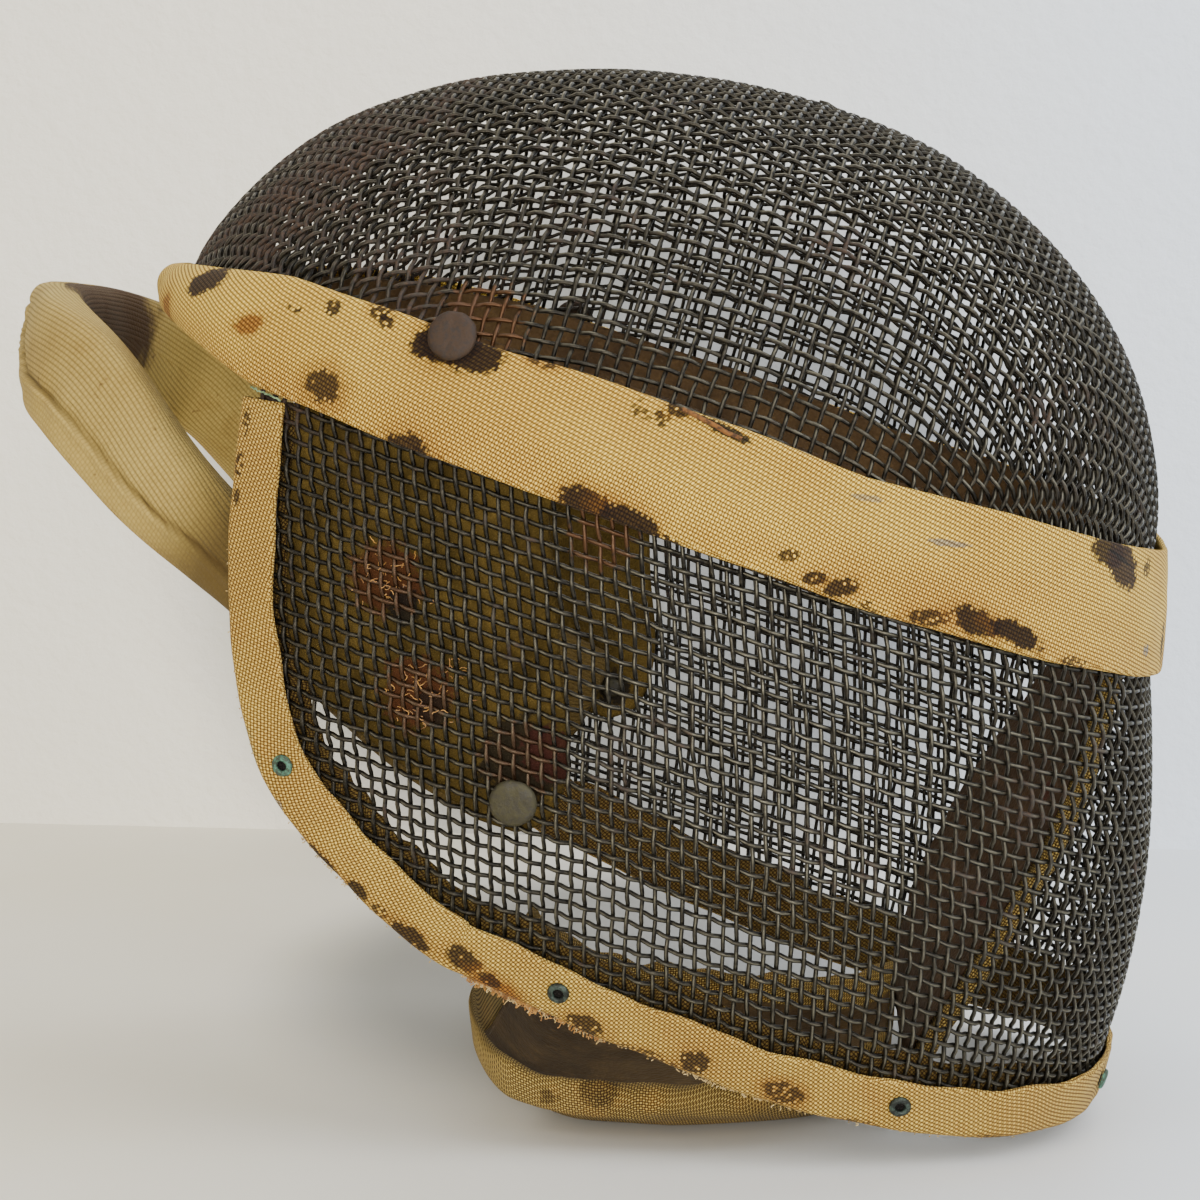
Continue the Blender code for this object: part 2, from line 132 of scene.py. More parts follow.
# The bib from its back lip, in the world: along, underside, half width, lift of its edges.
BIB = (
    (-23.2, 25.5, 46.0, 1.0),
    (-20.7, 16.0, 54.0, 3.0),
    (-13.7, 6.5, 59.0, 6.0),
    (-1.7, 0.8, 60.0, 8.5),
    (6.3, 0.0, 60.0, 8.0),
    (26.3, 0.0, 58.0, 7.0),
    (44.3, 0.0, 52.0, 7.5),
    (56.3, 0.8, 46.0, 9.0),
    (66.3, 5.0, 42.0, 9.0),
    (71.3, 11.0, 40.0, 7.0),
)

# The chin pad's middle line from the bib to the inside of the band, in the world: along, height.
CHIN_PAD = (
    (75.3, 9.0),
    (79.2, 24.0),
    (86.8, 42.0),
    (96.5, 61.5),
    (108.1, 84.3),
    (121.4, 112.4),
)
CHIN_PAD_HALF = 31.0
CHIN_PAD_HALF_AT_TOP = 26.0
CHIN_PAD_SKEW = 14.0

UPPER_RIVET = (-38.7, 15.0)
LOWER_RIVET = (1.0, -75.0)
EYELETS = (10.5, 56.0, 87.1, 112.5)

# The woven wire's cells.
CROWN_CELL_ALONG = 3.34
CROWN_CELL_OVER = 3.23
FACE_CELL_ROUND = 3.13
FACE_CELL_DOWN = 3.2
# A wire's radius, how far it rises over another, how deep under the skin its middle
# lies, and the share of a cell that it runs flat on each side of a crossing.
WIRE_RADIUS = 0.52
WIRE_RISE = 0.40
WIRE_DEPTH = 1.0
WIRE_FLAT = 0.24
# The middle of the mask in the world, in metres. The wires' painted highlight lies on the sides that face
# away from it.
MASK_MIDDLE = (0.015, 0.0, 0.135)

# How far behind the mask the wall stands, in metres.
WALL_AWAY = 0.315

# The camera, as it stood to the photographed mask.
CAMERA_AZIMUTH = math.radians(7.0)
CAMERA_ELEVATION = math.radians(6.2)
CAMERA_DISTANCE = 0.730
CAMERA_AIM = Vector((0.0007, 0.0, 0.1167))
CAMERA_LENS = 91.8


# The shell's form


def unit(vectors):
    return vectors / np.maximum(1e-12, np.linalg.norm(vectors, axis=-1, keepdims=True))


def to_world(points):
    """Points of the shell's own frame, in the world."""
    along, side, up = np.moveaxis(np.asarray(points, dtype=float), -1, 0)
    cos, sin = math.cos(TILT), math.sin(TILT)
    return SHELL_AT + np.stack([cos * along + sin * up, side, cos * up - sin * along], -1)


def section(up):
    """Front, back, widest place and half width of the shell at some heights."""
    rise = np.clip(up / CROWN_HEIGHT, 0.0, 1.0 - 1e-9)
    spread = np.sqrt(1.0 - rise * rise)
    slim = (1.0 - rise**CROWN_SIDE_POWER) ** (1.0 / CROWN_SIDE_POWER)
    deep = np.maximum(0.0, -up)
    lean = 1.0 - np.maximum(0.0, 1.0 - deep / FACE_LEAN_DEEP) ** 2
    narrow = FACE_NARROWING * (deep / FACE_DEEP) ** FACE_NARROWING_POWER
    crown = up >= 0.0
    over = WIDEST_ALONG + (CROWN_TOP_ALONG - WIDEST_ALONG) * rise
    widest = np.where(crown, over, WIDEST_ALONG * (1.0 - deep / FACE_DEEP))
    front = CROWN_TOP_ALONG + np.where(crown, CROWN_FRONT * spread, CROWN_FRONT + FACE_LEAN * lean)
    back = np.where(crown, CROWN_TOP_ALONG - CROWN_BACK * spread, widest - FACE_BACK)
    half = np.where(crown, HALF_WIDTH * slim, HALF_WIDTH - narrow)
    return front, back, widest, half


def skin(angle, up):
    """Points of the shell's outer skin."""
    angle, up = np.broadcast_arrays(np.asarray(angle, dtype=float), np.asarray(up, dtype=float))
    front, back, widest, half = section(up)
    cos, sin = np.cos(angle), np.sin(angle)
    reach = np.where(cos >= 0.0, front - widest, widest - back)
    power = 2.0 / np.where(cos >= 0.0, FRONT_POWER, BACK_POWER)
    along = widest + np.sign(cos) * reach * np.abs(cos) ** power
    side = -np.sign(sin) * half * np.abs(sin) ** power
    return np.stack([along, side, up], -1)


def outward(angle, up):
    """The skin's normals, from how it runs round and up."""
    turn, rise = 0.01, 0.3
    up = np.asarray(up, dtype=float)
    low = np.where(up >= 0.0, np.maximum(0.0, up - rise), up - rise)
    high = np.where(up >= 0.0, np.minimum(CROWN_HEIGHT, up + rise), np.minimum(-0.001, up + rise))
    round_it = skin(angle + turn, up) - skin(angle - turn, up)
    up_it = skin(angle, high) - skin(angle, low)
    return unit(np.cross(up_it, round_it))


def outside(points, crown=False):
    """Above zero outside the skin, below zero inside. The crown's walls may run on straight down."""
    up = np.maximum(points[..., 2], 0.0) if crown else points[..., 2]
    front, back, widest, half = section(up)
    away = points[..., 0] - widest
    reach = np.where(away >= 0.0, front - widest, widest - back)
    power = np.where(away >= 0.0, FRONT_POWER, BACK_POWER)
    over = (np.abs(away) / reach) ** power + (np.abs(points[..., 1]) / half) ** power - 1.0
    return np.where(up >= CROWN_HEIGHT, 1.0, over)


def slope_at(points, crown=False):
    step = 0.05
    here = outside(points, crown)
    return np.stack([
        outside(points + (step, 0.0, 0.0), crown) - outside(points - (step, 0.0, 0.0), crown),
        outside(points + (0.0, step, 0.0), crown) - outside(points - (0.0, step, 0.0), crown),
        2.0 * (here - outside(points - (0.0, 0.0, step), crown)),
    ], -1) / (2.0 * step)


def normal_at(points, crown=False):
    return unit(slope_at(points, crown))


def onto_skin(points, crown=False):
    """Points near the skin, moved straight onto it."""
    for _ in range(4):
        slope = slope_at(points, crown)
        off = outside(points, crown)[..., None]
        points = points - slope * off / np.maximum(1e-12, np.sum(slope * slope, -1, keepdims=True))
    return points


def angle_round(points):
    """How far round the shell some points of its skin lie."""
    front, back, widest, half = section(points[..., 2])
    away = points[..., 0] - widest
    reach = np.where(away >= 0.0, front - widest, widest - back)
    power = np.where(away >= 0.0, FRONT_POWER, BACK_POWER) / 2.0
    cos = np.sign(away) * (np.abs(away) / reach) ** power
    sin = (np.abs(points[..., 1]) / half) ** power
    return -np.sign(points[..., 1]) * np.arctan2(sin, cos)


def angle_at(along, up):
    """How far round the right side a place of the skin lies, from its place along."""
    front, back, widest, _ = section(up)
    away = along - widest
    reach = np.where(away >= 0.0, front - widest, widest - back)
    power = np.where(away >= 0.0, FRONT_POWER, BACK_POWER) / 2.0
    part = np.minimum(1.0, np.abs(away) / reach) ** power
    return np.where(away >= 0.0, np.arccos(part), math.pi - np.arccos(part))


def lengths(points):
    """How far each point of a line lies from its first."""
    steps = np.linalg.norm(np.diff(points, axis=0), axis=-1)
    return np.concatenate([[0.0], np.cumsum(steps)])


def smooth_curve(rows, count):
    """Rows of numbers read at even steps from a smooth curve through a table's rows."""
    rows = np.array(rows, dtype=float)
    far = lengths(rows[:, :3])
    at = np.linspace(0.0, far[-1], count)
    i = np.clip(np.searchsorted(far, at, side="right") - 1, 0, len(rows) - 2)
    t = ((at - far[i]) / (far[i + 1] - far[i]))[:, None]
    one, two = rows[i], rows[i + 1]
    before, after = rows[np.maximum(i - 1, 0)], rows[np.minimum(i + 2, len(rows) - 1)]
    start, end = (two - before) / 2.0, (after - one) / 2.0
    return (
        (2 * t**3 - 3 * t**2 + 1) * one
        + (t**3 - 2 * t**2 + t) * start
        + (3 * t**2 - 2 * t**3) * two
        + (t**3 - t**2) * end
    )


SEAM_ANGLES = np.linspace(0.0, math.pi, 4001)
SEAM_FAR = lengths(skin(SEAM_ANGLES, 0.0))


def ahead_of(angle):
    """How far along the band's seam an angle lies: 0 at the front, below 0 on the right side."""
    return -np.sign(angle) * np.interp(np.abs(angle), SEAM_ANGLES, SEAM_FAR)


def angle_of(ahead):
    return -np.sign(ahead) * np.interp(np.abs(ahead), SEAM_FAR, SEAM_ANGLES)


def spot(ahead, up, off=0.0):
    """A place on the shell in the world's metres, from how far ahead and how high it lies."""
    angle = angle_of(ahead)
    return tuple(to_world(skin(angle, up) + outward(angle, up) * off) * MM)


def smoothly(low, high, value):
    part = np.clip((value - low) / (high - low), 0.0, 1.0)
    return part * part * (3.0 - 2.0 * part)


def unevenness(points, size, seed, waves=9):
    """A soft irregular number for each point, mostly between -1 and 1, in waves of about this size."""
    chance = np.random.default_rng(seed)
    total = np.zeros(points.shape[:-1])
    for _ in range(waves):
        ray = chance.normal(size=points.shape[-1])
        ray *= 2.0 * math.pi / (size * chance.uniform(0.7, 1.6) * np.linalg.norm(ray))
        total += np.sin(points @ ray + chance.uniform(0.0, 2.0 * math.pi))
    return total / math.sqrt(waves)


# Shader helpers


def new_material(name):
    made = bpy.data.materials.new(name)
    made.use_nodes = True
    return made, made.node_tree.nodes, made.node_tree.links, made.node_tree.nodes["Principled BSDF"]


def new_group(name, inputs, outputs):
    """A shader node group with named sockets. Each input is (name, kind, value)."""
    group = bpy.data.node_groups.new(name, "ShaderNodeTree")
    for word, kind, value in inputs:
        socket = group.interface.new_socket(word, in_out="INPUT", socket_type=kind)
        if value is not None:
            socket.default_value = value
    for word, kind in outputs:
        group.interface.new_socket(word, in_out="OUTPUT", socket_type=kind)
    entry = group.nodes.new("NodeGroupInput")
    leave = group.nodes.new("NodeGroupOutput")
    return group, group.nodes, group.links, entry.outputs, leave.inputs


def put_group(nodes, links, group, **feeds):
    """Places a group in a material. A feed is a value or another node's socket."""
    node = nodes.new("ShaderNodeGroup")
    node.node_tree = group
    for word, feed in feeds.items():
        socket = node.inputs[word.replace("_", " ")]
        if isinstance(feed, bpy.types.NodeSocket):
            links.new(feed, socket)
        else:
            socket.default_value = feed
    return node.outputs


def feed_into(links, socket, feed):
    if isinstance(feed, bpy.types.NodeSocket):
        links.new(feed, socket)
    elif isinstance(feed, tuple) and len(feed) == 3 and socket.type == "RGBA":
        socket.default_value = (*feed, 1.0)
    else:
        socket.default_value = feed


def maths(nodes, links, kind, *feeds):
    node = nodes.new("ShaderNodeMath")
    node.operation = kind
    for socket, feed in zip(node.inputs, feeds):
        feed_into(links, socket, feed)
    return node.outputs[0]


def vector_maths(nodes, links, kind, *feeds):
    node = nodes.new("ShaderNodeVectorMath")
    node.operation = kind
    for socket, feed in zip(node.inputs, feeds):
        feed_into(links, socket, feed)
    return node.outputs["Value"] if kind in ("LENGTH", "DOT_PRODUCT") else node.outputs["Vector"]


def mix(nodes, links, amount, one, two, blend="MIX"):
    node = nodes.new("ShaderNodeMix")
    node.data_type = "RGBA"
    node.blend_type = blend
    feed_into(links, node.inputs[0], amount)
    feed_into(links, node.inputs[6], one)
    feed_into(links, node.inputs[7], two)
    return node.outputs[2]


def spread(nodes, links, value, low, high, to_low=0.0, to_high=1.0):
    """A value brought from one range to another, with soft ends."""
    node = nodes.new("ShaderNodeMapRange")
    node.interpolation_type = "SMOOTHSTEP"
    node.inputs["From Min"].default_value = low
    node.inputs["From Max"].default_value = high
    node.inputs["To Min"].default_value = to_low
    node.inputs["To Max"].default_value = to_high
    links.new(value, node.inputs["Value"])
    return node.outputs[0]


def noise(nodes, links, vector, scale, detail=3.0, rough=0.55):
    node = nodes.new("ShaderNodeTexNoise")
    node.inputs["Scale"].default_value = scale
    node.inputs["Detail"].default_value = detail
    node.inputs["Roughness"].default_value = rough
    links.new(vector, node.inputs["Vector"])
    return node.outputs["Fac"]


def object_place(nodes):
    return nodes.new("ShaderNodeTexCoord").outputs["Object"]


def bump(nodes, links, bsdf, height, distance, strength=1.0):
    node = nodes.new("ShaderNodeBump")
    node.inputs["Strength"].default_value = strength
    node.inputs["Distance"].default_value = distance
    links.new(height, node.inputs["Height"])
    links.new(node.outputs[0], bsdf.inputs["Normal"])


# Shared finishes


def weave_group():
    """Plain weave from a map in metres: its height, its gaps, a chance for each crossing and a tone for
    each thread."""
    group, nodes, links, entry, leave = new_group(
        "plain weave",
        [
            ("Cloth", "NodeSocketVector", None),
            ("Lengthwise", "NodeSocketFloat", 1600.0),
            ("Crosswise", "NodeSocketFloat", 1100.0),
            ("Wander", "NodeSocketFloat", 0.0003),
        ],
        [
            ("Height", "NodeSocketFloat"),
            ("Gaps", "NodeSocketFloat"),
            ("Chance", "NodeSocketFloat"),
            ("Tone", "NodeSocketFloat"),
        ],
    )
    drift = nodes.new("ShaderNodeTexNoise")
    drift.inputs["Scale"].default_value = 260.0
    drift.inputs["Detail"].default_value = 2.0
    links.new(entry["Cloth"], drift.inputs["Vector"])
    shift = vector_maths(nodes, links, "SUBTRACT", drift.outputs["Color"], (0.5, 0.5, 0.5))
    wander = nodes.new("ShaderNodeVectorMath")
    wander.operation = "SCALE"
    links.new(shift, wander.inputs[0])
    links.new(entry["Wander"], wander.inputs["Scale"])
    place = vector_maths(nodes, links, "ADD", entry["Cloth"], wander.outputs[0])
    split = nodes.new("ShaderNodeSeparateXYZ")
    links.new(place, split.inputs[0])
    rows, waves, tones = [], [], []
    for axis, word in ((0, "Lengthwise"), (1, "Crosswise")):
        count = maths(nodes, links, "MULTIPLY", split.outputs[axis], entry[word])
        rows.append(maths(nodes, links, "FLOOR", count))
        turn = maths(nodes, links, "MULTIPLY", count, math.pi)
        waves.append(maths(nodes, links, "ABSOLUTE", maths(nodes, links, "SINE", turn)))
        chance = nodes.new("ShaderNodeTexWhiteNoise")
        chance.noise_dimensions = "1D"
        links.new(maths(nodes, links, "ADD", rows[-1], 0.37 + axis), chance.inputs["W"])
        tones.append(chance.outputs["Value"])
    both = maths(nodes, links, "ADD", *rows)
    over = maths(nodes, links, "GREATER_THAN", maths(nodes, links, "PINGPONG", both, 1.0), 0.5)
    crowns = []
    for one, two, top in ((*waves, 0.72), (*waves[::-1], 1.0)):
        across = maths(nodes, links, "POWER", one, 0.7)
        arch = maths(nodes, links, "MULTIPLY_ADD", two, 0.5 * top, 0.5 * top)
        crowns.append(maths(nodes, links, "MULTIPLY", across, arch))
    height = nodes.new("ShaderNodeMix")
    tone = nodes.new("ShaderNodeMix")
    for node, pair in ((height, crowns), (tone, tones)):
        links.new(over, node.inputs[0])
        links.new(pair[0], node.inputs[2])
        links.new(pair[1], node.inputs[3])
    cell = nodes.new("ShaderNodeCombineXYZ")
    links.new(rows[0], cell.inputs[0])
    links.new(rows[1], cell.inputs[1])
    chance = nodes.new("ShaderNodeTexWhiteNoise")
    chance.noise_dimensions = "2D"
    links.new(cell.outputs[0], chance.inputs["Vector"])
    links.new(height.outputs[0], leave["Height"])
    empty = maths(nodes, links, "SUBTRACT", 1.0, height.outputs[0])
    links.new(maths(nodes, links, "POWER", empty, 1.25), leave["Gaps"])
    links.new(chance.outputs["Value"], leave["Chance"])
    links.new(tone.outputs[0], leave["Tone"])
    return group


def stain_group():
    """One stain: a ragged patch round a place, with a halo. Its share is how much of it took the stain."""
    group, nodes, links, entry, leave = new_group(
        "stain",
        [
            ("Where", "NodeSocketVector", None),
            ("Place", "NodeSocketVector", None),
            ("Reach", "NodeSocketVector", (0.005, 0.005, 1.0)),
            ("Turn", "NodeSocketFloat", 0.0),
            ("Ragged", "NodeSocketFloat", 0.0),
            ("Chance", "NodeSocketFloat", 0.0),
            ("Share", "NodeSocketFloat", 1.1),
        ],
        [("Mask", "NodeSocketFloat"), ("Halo", "NodeSocketFloat")],
    )
    away = vector_maths(nodes, links, "SUBTRACT", entry["Where"], entry["Place"])
    turned = nodes.new("ShaderNodeVectorRotate")
    turned.rotation_type = "Z_AXIS"
    links.new(away, turned.inputs["Vector"])
    links.new(entry["Turn"], turned.inputs["Angle"])
    scaled = vector_maths(nodes, links, "DIVIDE", turned.outputs[0], entry["Reach"])
    far = vector_maths(nodes, links, "LENGTH", scaled)
    edge = maths(nodes, links, "ADD", far, entry["Ragged"])
    mask = spread(nodes, links, edge, 1.14, 0.84)
    took = maths(nodes, links, "GREATER_THAN", entry["Share"], entry["Chance"])
    links.new(maths(nodes, links, "MULTIPLY", mask, took), leave["Mask"])
    links.new(spread(nodes, links, edge, 2.1, 0.95), leave["Halo"])
    return group


def add_stains(nodes, links, colour, rows, where, ragged, chance=0.0):
    """Lays stains over a colour. Each row: place, reach, turn, colour, strength, share, halo."""
    for place, reach, turn, stain, strength, share, halo in rows:
        mark = put_group(
            nodes, links, STAIN, Where=where, Place=place, Reach=reach, Turn=math.radians(-turn),
            Ragged=ragged, Chance=chance, Share=share,
        )
        if halo:
            amount = maths(nodes, links, "MULTIPLY", mark["Halo"], halo)
            colour = mix(nodes, links, amount, colour, OCHRE_STAIN)
        amount = maths(nodes, links, "MULTIPLY", mark["Mask"], strength)
        colour = mix(nodes, links, amount, colour, stain)
    return colour


def on_cloth(ahead, up, reach_ahead, reach_up, turn, colour, strength=0.97, share=1.1, halo=0.0):
    """A stain's row on a band or a binding, from millimetres."""
    place = (ahead * MM, up * MM, 0.0)
    reach = (reach_ahead * MM, reach_up * MM, 1.0)
    return place, reach, turn, colour, strength, share, halo


def in_space(place, reach, colour, strength=0.9, halo=0.0):
    """A stain's row round a place of the world, given in metres, with its reach in millimetres."""
    return place, (reach * MM, reach * MM, reach * MM), 0.0, colour, strength, 1.1, halo


BROWN_STAIN = (0.021, 0.009, 0.003)
PURPLE_STAIN = (0.035, 0.017, 0.010)
OCHRE_STAIN = (0.32, 0.130, 0.016)
GREY_STAIN = (0.27, 0.25, 0.21)
GREEN_STAIN = (0.22, 0.27, 0.15)
# Black, for stains, and as painted shade in the eyelets' holes.
BLACK_STAIN_AND_HOLE_SHADE = (0.012, 0.010, 0.008)

# How far ahead and up a stain lies, its reach both ways, its turn, its colour, strength, share and halo.
BAND_STAINS = (
    on_cloth(-282.8, 8.5, 5.6, 3.2, 35.0, PURPLE_STAIN),
    on_cloth(-265.4, 3.5, 3.2, 2.0, 30.0, OCHRE_STAIN, 0.9, 1.1, 0.25),
    on_cloth(-297.1, -1.6, 4.0, 2.4, 60.0, OCHRE_STAIN, 0.8, 1.1, 0.3),
    on_cloth(-257.0, 10.0, 1.5, 0.8, 0.0, BROWN_STAIN, 0.9, 0.45),
    on_cloth(-249.1, 12.8, 1.7, 1.7, 40.0, BROWN_STAIN, 0.9, 0.7),
    on_cloth(-239.5, 15.6, 2.8, 2.0, -20.0, BROWN_STAIN, 0.9, 0.6, 0.3),
    on_cloth(-237.0, 13.6, 2.2, 1.2, -30.0, BROWN_STAIN, 0.9, 0.6),
    on_cloth(-243.1, -3.0, 4.1, 3.7, 0.0, BROWN_STAIN, 0.86, 0.93, 0.45),
    on_cloth(-222.6, -10.2, 4.8, 4.0, 0.0, BROWN_STAIN, 0.93, 1.1, 0.3),
    on_cloth(-222.9, 14.6, 6.2, 5.6, 0.0, BROWN_STAIN, 0.97, 1.1, 0.2),
    on_cloth(-217.2, 13.2, 5.2, 4.4, 10.0, BROWN_STAIN, 0.97),
    on_cloth(-226.8, 12.6, 3.6, 3.2, 10.0, BROWN_STAIN, 0.97),
    on_cloth(-204.7, 16.4, 3.4, 1.5, 0.0, BROWN_STAIN, 0.8, 0.7, 0.5),
    on_cloth(-183.6, -9.6, 5.6, 3.7, 0.0, BROWN_STAIN, 0.96, 1.1, 0.4),
    on_cloth(-174.3, -9.9, 6.2, 2.9, -8.0, BROWN_STAIN, 0.96, 1.1, 0.3),
    on_cloth(-166.7, -11.7, 2.9, 1.6, 0.0, BROWN_STAIN, 0.9, 0.8),
    on_cloth(-181.0, 12.9, 2.6, 1.8, -20.0, BROWN_STAIN, 0.8, 0.25),
    on_cloth(-176.6, 12.4, 2.2, 1.5, 0.0, BROWN_STAIN, 0.9, 0.35),
    on_cloth(-174.4, 15.4, 2.6, 1.6, 0.0, BROWN_STAIN, 0.9, 0.9, 0.3),
    on_cloth(-163.2, 13.9, 6.6, 1.0, -9.0, BLACK_STAIN_AND_HOLE_SHADE, 0.95),
    on_cloth(-141.5, -6.5, 2.4, 1.1, 25.0, BROWN_STAIN, 0.85, 0.6),
    on_cloth(-136.1, -9.5, 2.9, 1.2, 20.0, BROWN_STAIN, 0.92, 0.85, 0.2),
    on_cloth(-130.6, -9.8, 3.6, 1.7, 30.0, BROWN_STAIN, 0.92, 0.9, 0.2),
    on_cloth(-124.0, -11.6, 2.6, 1.0, 0.0, BROWN_STAIN, 0.8, 0.5),
    on_cloth(-111.9, -10.5, 4.6, 1.6, 14.0, BROWN_STAIN, 0.88, 0.75, 0.3),
    on_cloth(-102.1, -8.8, 5.0, 3.0, -5.0, BROWN_STAIN, 0.95, 1.1, 0.3),
    on_cloth(-92.6, -9.2, 5.8, 2.3, -10.0, BROWN_STAIN, 0.97, 1.1, 0.2),
    on_cloth(-78.0, -12.4, 3.6, 1.2, 0.0, BROWN_STAIN, 0.8, 0.5, 0.2),
    on_cloth(-71.0, 11.9, 6.0, 3.4, 0.0, BROWN_STAIN, 0.94),
    on_cloth(-65.4, 9.3, 6.2, 4.2, -30.0, PURPLE_STAIN, 0.96),
    on_cloth(-66.8, 10.8, 5.0, 0.5, -18.0, BLACK_STAIN_AND_HOLE_SHADE, 0.8),
    on_cloth(-54.5, 9.5, 2.4, 1.5, 60.0, BROWN_STAIN, 0.8, 0.7),
    on_cloth(-129.5, 9.5, 3.3, 0.7, 8.0, GREY_STAIN, 0.6),
    on_cloth(-110.2, 5.2, 4.2, 0.8, 8.0, GREY_STAIN, 0.75),
    on_cloth(-51.8, -7.8, 1.5, 1.3, 0.0, GREY_STAIN, 0.9, 0.8),
    on_cloth(-34.5, -7.2, 1.9, 4.0, 0.0, BLACK_STAIN_AND_HOLE_SHADE, 0.85, 0.9, 0.2),
)
BINDING_STAINS = (
    on_cloth(-227.3, -101.8, 5.0, 1.7, -34.0, BROWN_STAIN, 0.88, 0.9, 0.4),
    on_cloth(-218.5, -105.0, 2.6, 1.9, -30.0, BROWN_STAIN, 0.9, 0.95, 0.2),
    on_cloth(-213.0, -107.8, 2.0, 1.5, -30.0, BROWN_STAIN, 0.8, 0.6, 0.2),
    on_cloth(-205.4, -111.2, 4.8, 2.0, -20.0, BROWN_STAIN, 0.9, 0.95, 0.4),
    on_cloth(-193.4, -112.6, 3.7, 2.6, -15.0, BROWN_STAIN, 0.9, 0.95, 0.3),
    on_cloth(-185.5, -116.6, 4.8, 2.4, -15.0, OCHRE_STAIN, 0.9, 1.1, 0.6),
    on_cloth(-187.5, -115.0, 2.6, 1.4, -15.0, BROWN_STAIN, 0.8, 0.9),
    on_cloth(-166.7, -118.0, 3.9, 2.2, 0.0, BROWN_STAIN, 0.85, 0.8, 0.4),
    on_cloth(-154.0, -120.6, 6.0, 1.3, 0.0, BROWN_STAIN, 0.75, 0.6, 0.3),
    on_cloth(-144.0, -118.4, 3.1, 2.8, 20.0, BROWN_STAIN, 0.86, 0.85, 0.2),
    on_cloth(-125.3, -119.4, 3.9, 2.5, 0.0, BROWN_STAIN, 0.8, 0.75, 0.6),
    on_cloth(-108.0, -122.0, 4.5, 1.2, 0.0, BROWN_STAIN, 0.7, 0.5, 0.3),
    on_cloth(-78.0, -118.5, 5.0, 1.2, 5.0, BROWN_STAIN, 0.7, 0.5, 0.3),
    on_cloth(-261.4, -16.0, 1.0, 3.0, 0.0, BROWN_STAIN, 0.8, 0.5),
    on_cloth(-261.2, -25.0, 1.2, 2.6, 0.0, BROWN_STAIN, 0.9, 0.6),
    on_cloth(-260.6, -32.0, 0.9, 1.8, 0.0, BROWN_STAIN, 0.8, 0.5),
    on_cloth(-250.0, -88.5, 5.0, 9.0, 0.0, GREEN_STAIN, 0.35),
    on_cloth(-240.0, -93.0, 2.2, 1.6, 0.0, GREY_STAIN, 0.7, 0.8),
)


def canvas(name, light, shade, threads, stains=(), ochre=0.35, low_ochre=0.0, wander=0.0003, solid=False):
    """Cotton canvas gone yellow: its weave, a painted highlight on the crowns of its threads, painted shade
    in the gaps between them, and the stains that are named.
    """
    made, nodes, links, bsdf = new_material(name)
    place = object_place(nodes)
    cloth = nodes.new("ShaderNodeUVMap")
    cloth.uv_map = "cloth"
    weave = put_group(
        nodes, links, WEAVE, Cloth=cloth.outputs[0], Lengthwise=threads[0], Crosswise=threads[1],
        Wander=wander,
    )
    broad = spread(nodes, links, noise(nodes, links, place, 24.0, 4.0), 0.36, 0.66)
    colour = mix(nodes, links, broad, light, shade)
    patches = spread(nodes, links, noise(nodes, links, place, 62.0, 5.0, 0.7), 0.5, 0.72)
    colour = mix(nodes, links, maths(nodes, links, "MULTIPLY", patches, ochre), colour, (0.50, 0.27, 0.050))
    surface = nodes.new("ShaderNodeUVMap")
    surface.uv_map = "place"
    split = nodes.new("ShaderNodeSeparateXYZ")
    links.new(surface.outputs[0], split.inputs[0])
    if low_ochre:
        low = spread(nodes, links, split.outputs[1], 0.006, -0.011)
        mottled = spread(nodes, links, noise(nodes, links, place, 34.0, 4.0, 0.6), 0.38, 0.62, 0.25, 1.0)
        amount = maths(nodes, links, "MULTIPLY", maths(nodes, links, "MULTIPLY", low, mottled), low_ochre)
        colour = mix(nodes, links, amount, colour, (0.52, 0.27, 0.040))
    thread = spread(nodes, links, weave["Tone"], 0.0, 1.0, 0.0, 0.16)
    colour = mix(nodes, links, thread, colour, (0.34, 0.20, 0.05))
    # Painted highlight: the crowns of the threads are lighter, as where light falls on them.
    painted_highlight = spread(nodes, links, weave["Height"], 0.45, 0.95, 0.0, 0.34)
    colour = mix(nodes, links, painted_highlight, colour, (1.0, 0.74, 0.22))
    rough = noise(nodes, links, place, 300.0, 5.0, 0.62)
    ragged = maths(nodes, links, "MULTIPLY_ADD", rough, 1.0, -0.5)
    grain = maths(nodes, links, "MULTIPLY_ADD", weave["Chance"], 0.30, -0.15)
    ragged = maths(nodes, links, "ADD", ragged, grain)
    where = place if solid else surface.outputs[0]
    colour = add_stains(nodes, links, colour, stains, where, ragged, weave["Chance"])
    # The binding's inner flap, marked by a place far off the mask, is darker: partly its aged canvas,
    # partly painted shade of the mask's inside.
    inner = maths(nodes, links, "GREATER_THAN", split.outputs[1], 0.5)
    colour = mix(nodes, links, maths(nodes, links, "MULTIPLY", inner, 0.86), colour, (0.075, 0.046, 0.013))
    # Painted shade: the gaps between the threads are darkened, as where shade falls between them.
    dark = spread(nodes, links, weave["Gaps"], 0.06, 0.72)
    colour = mix(nodes, links, dark, colour, (0.17, 0.105, 0.045), "MULTIPLY")
    links.new(colour, bsdf.inputs["Base Color"])
    bsdf.inputs["Roughness"].default_value = 0.93
    bsdf.inputs["Specular IOR Level"].default_value = 0.22
    bsdf.inputs["Sheen Weight"].default_value = 0.03
    bsdf.inputs["Sheen Roughness"].default_value = 0.5
    fuzz = maths(nodes, links, "MULTIPLY", noise(nodes, links, place, 2600.0, 2.0), 0.4)
    bump(nodes, links, bsdf, maths(nodes, links, "ADD", weave["Height"], fuzz), 0.00022, 0.8)
    return made


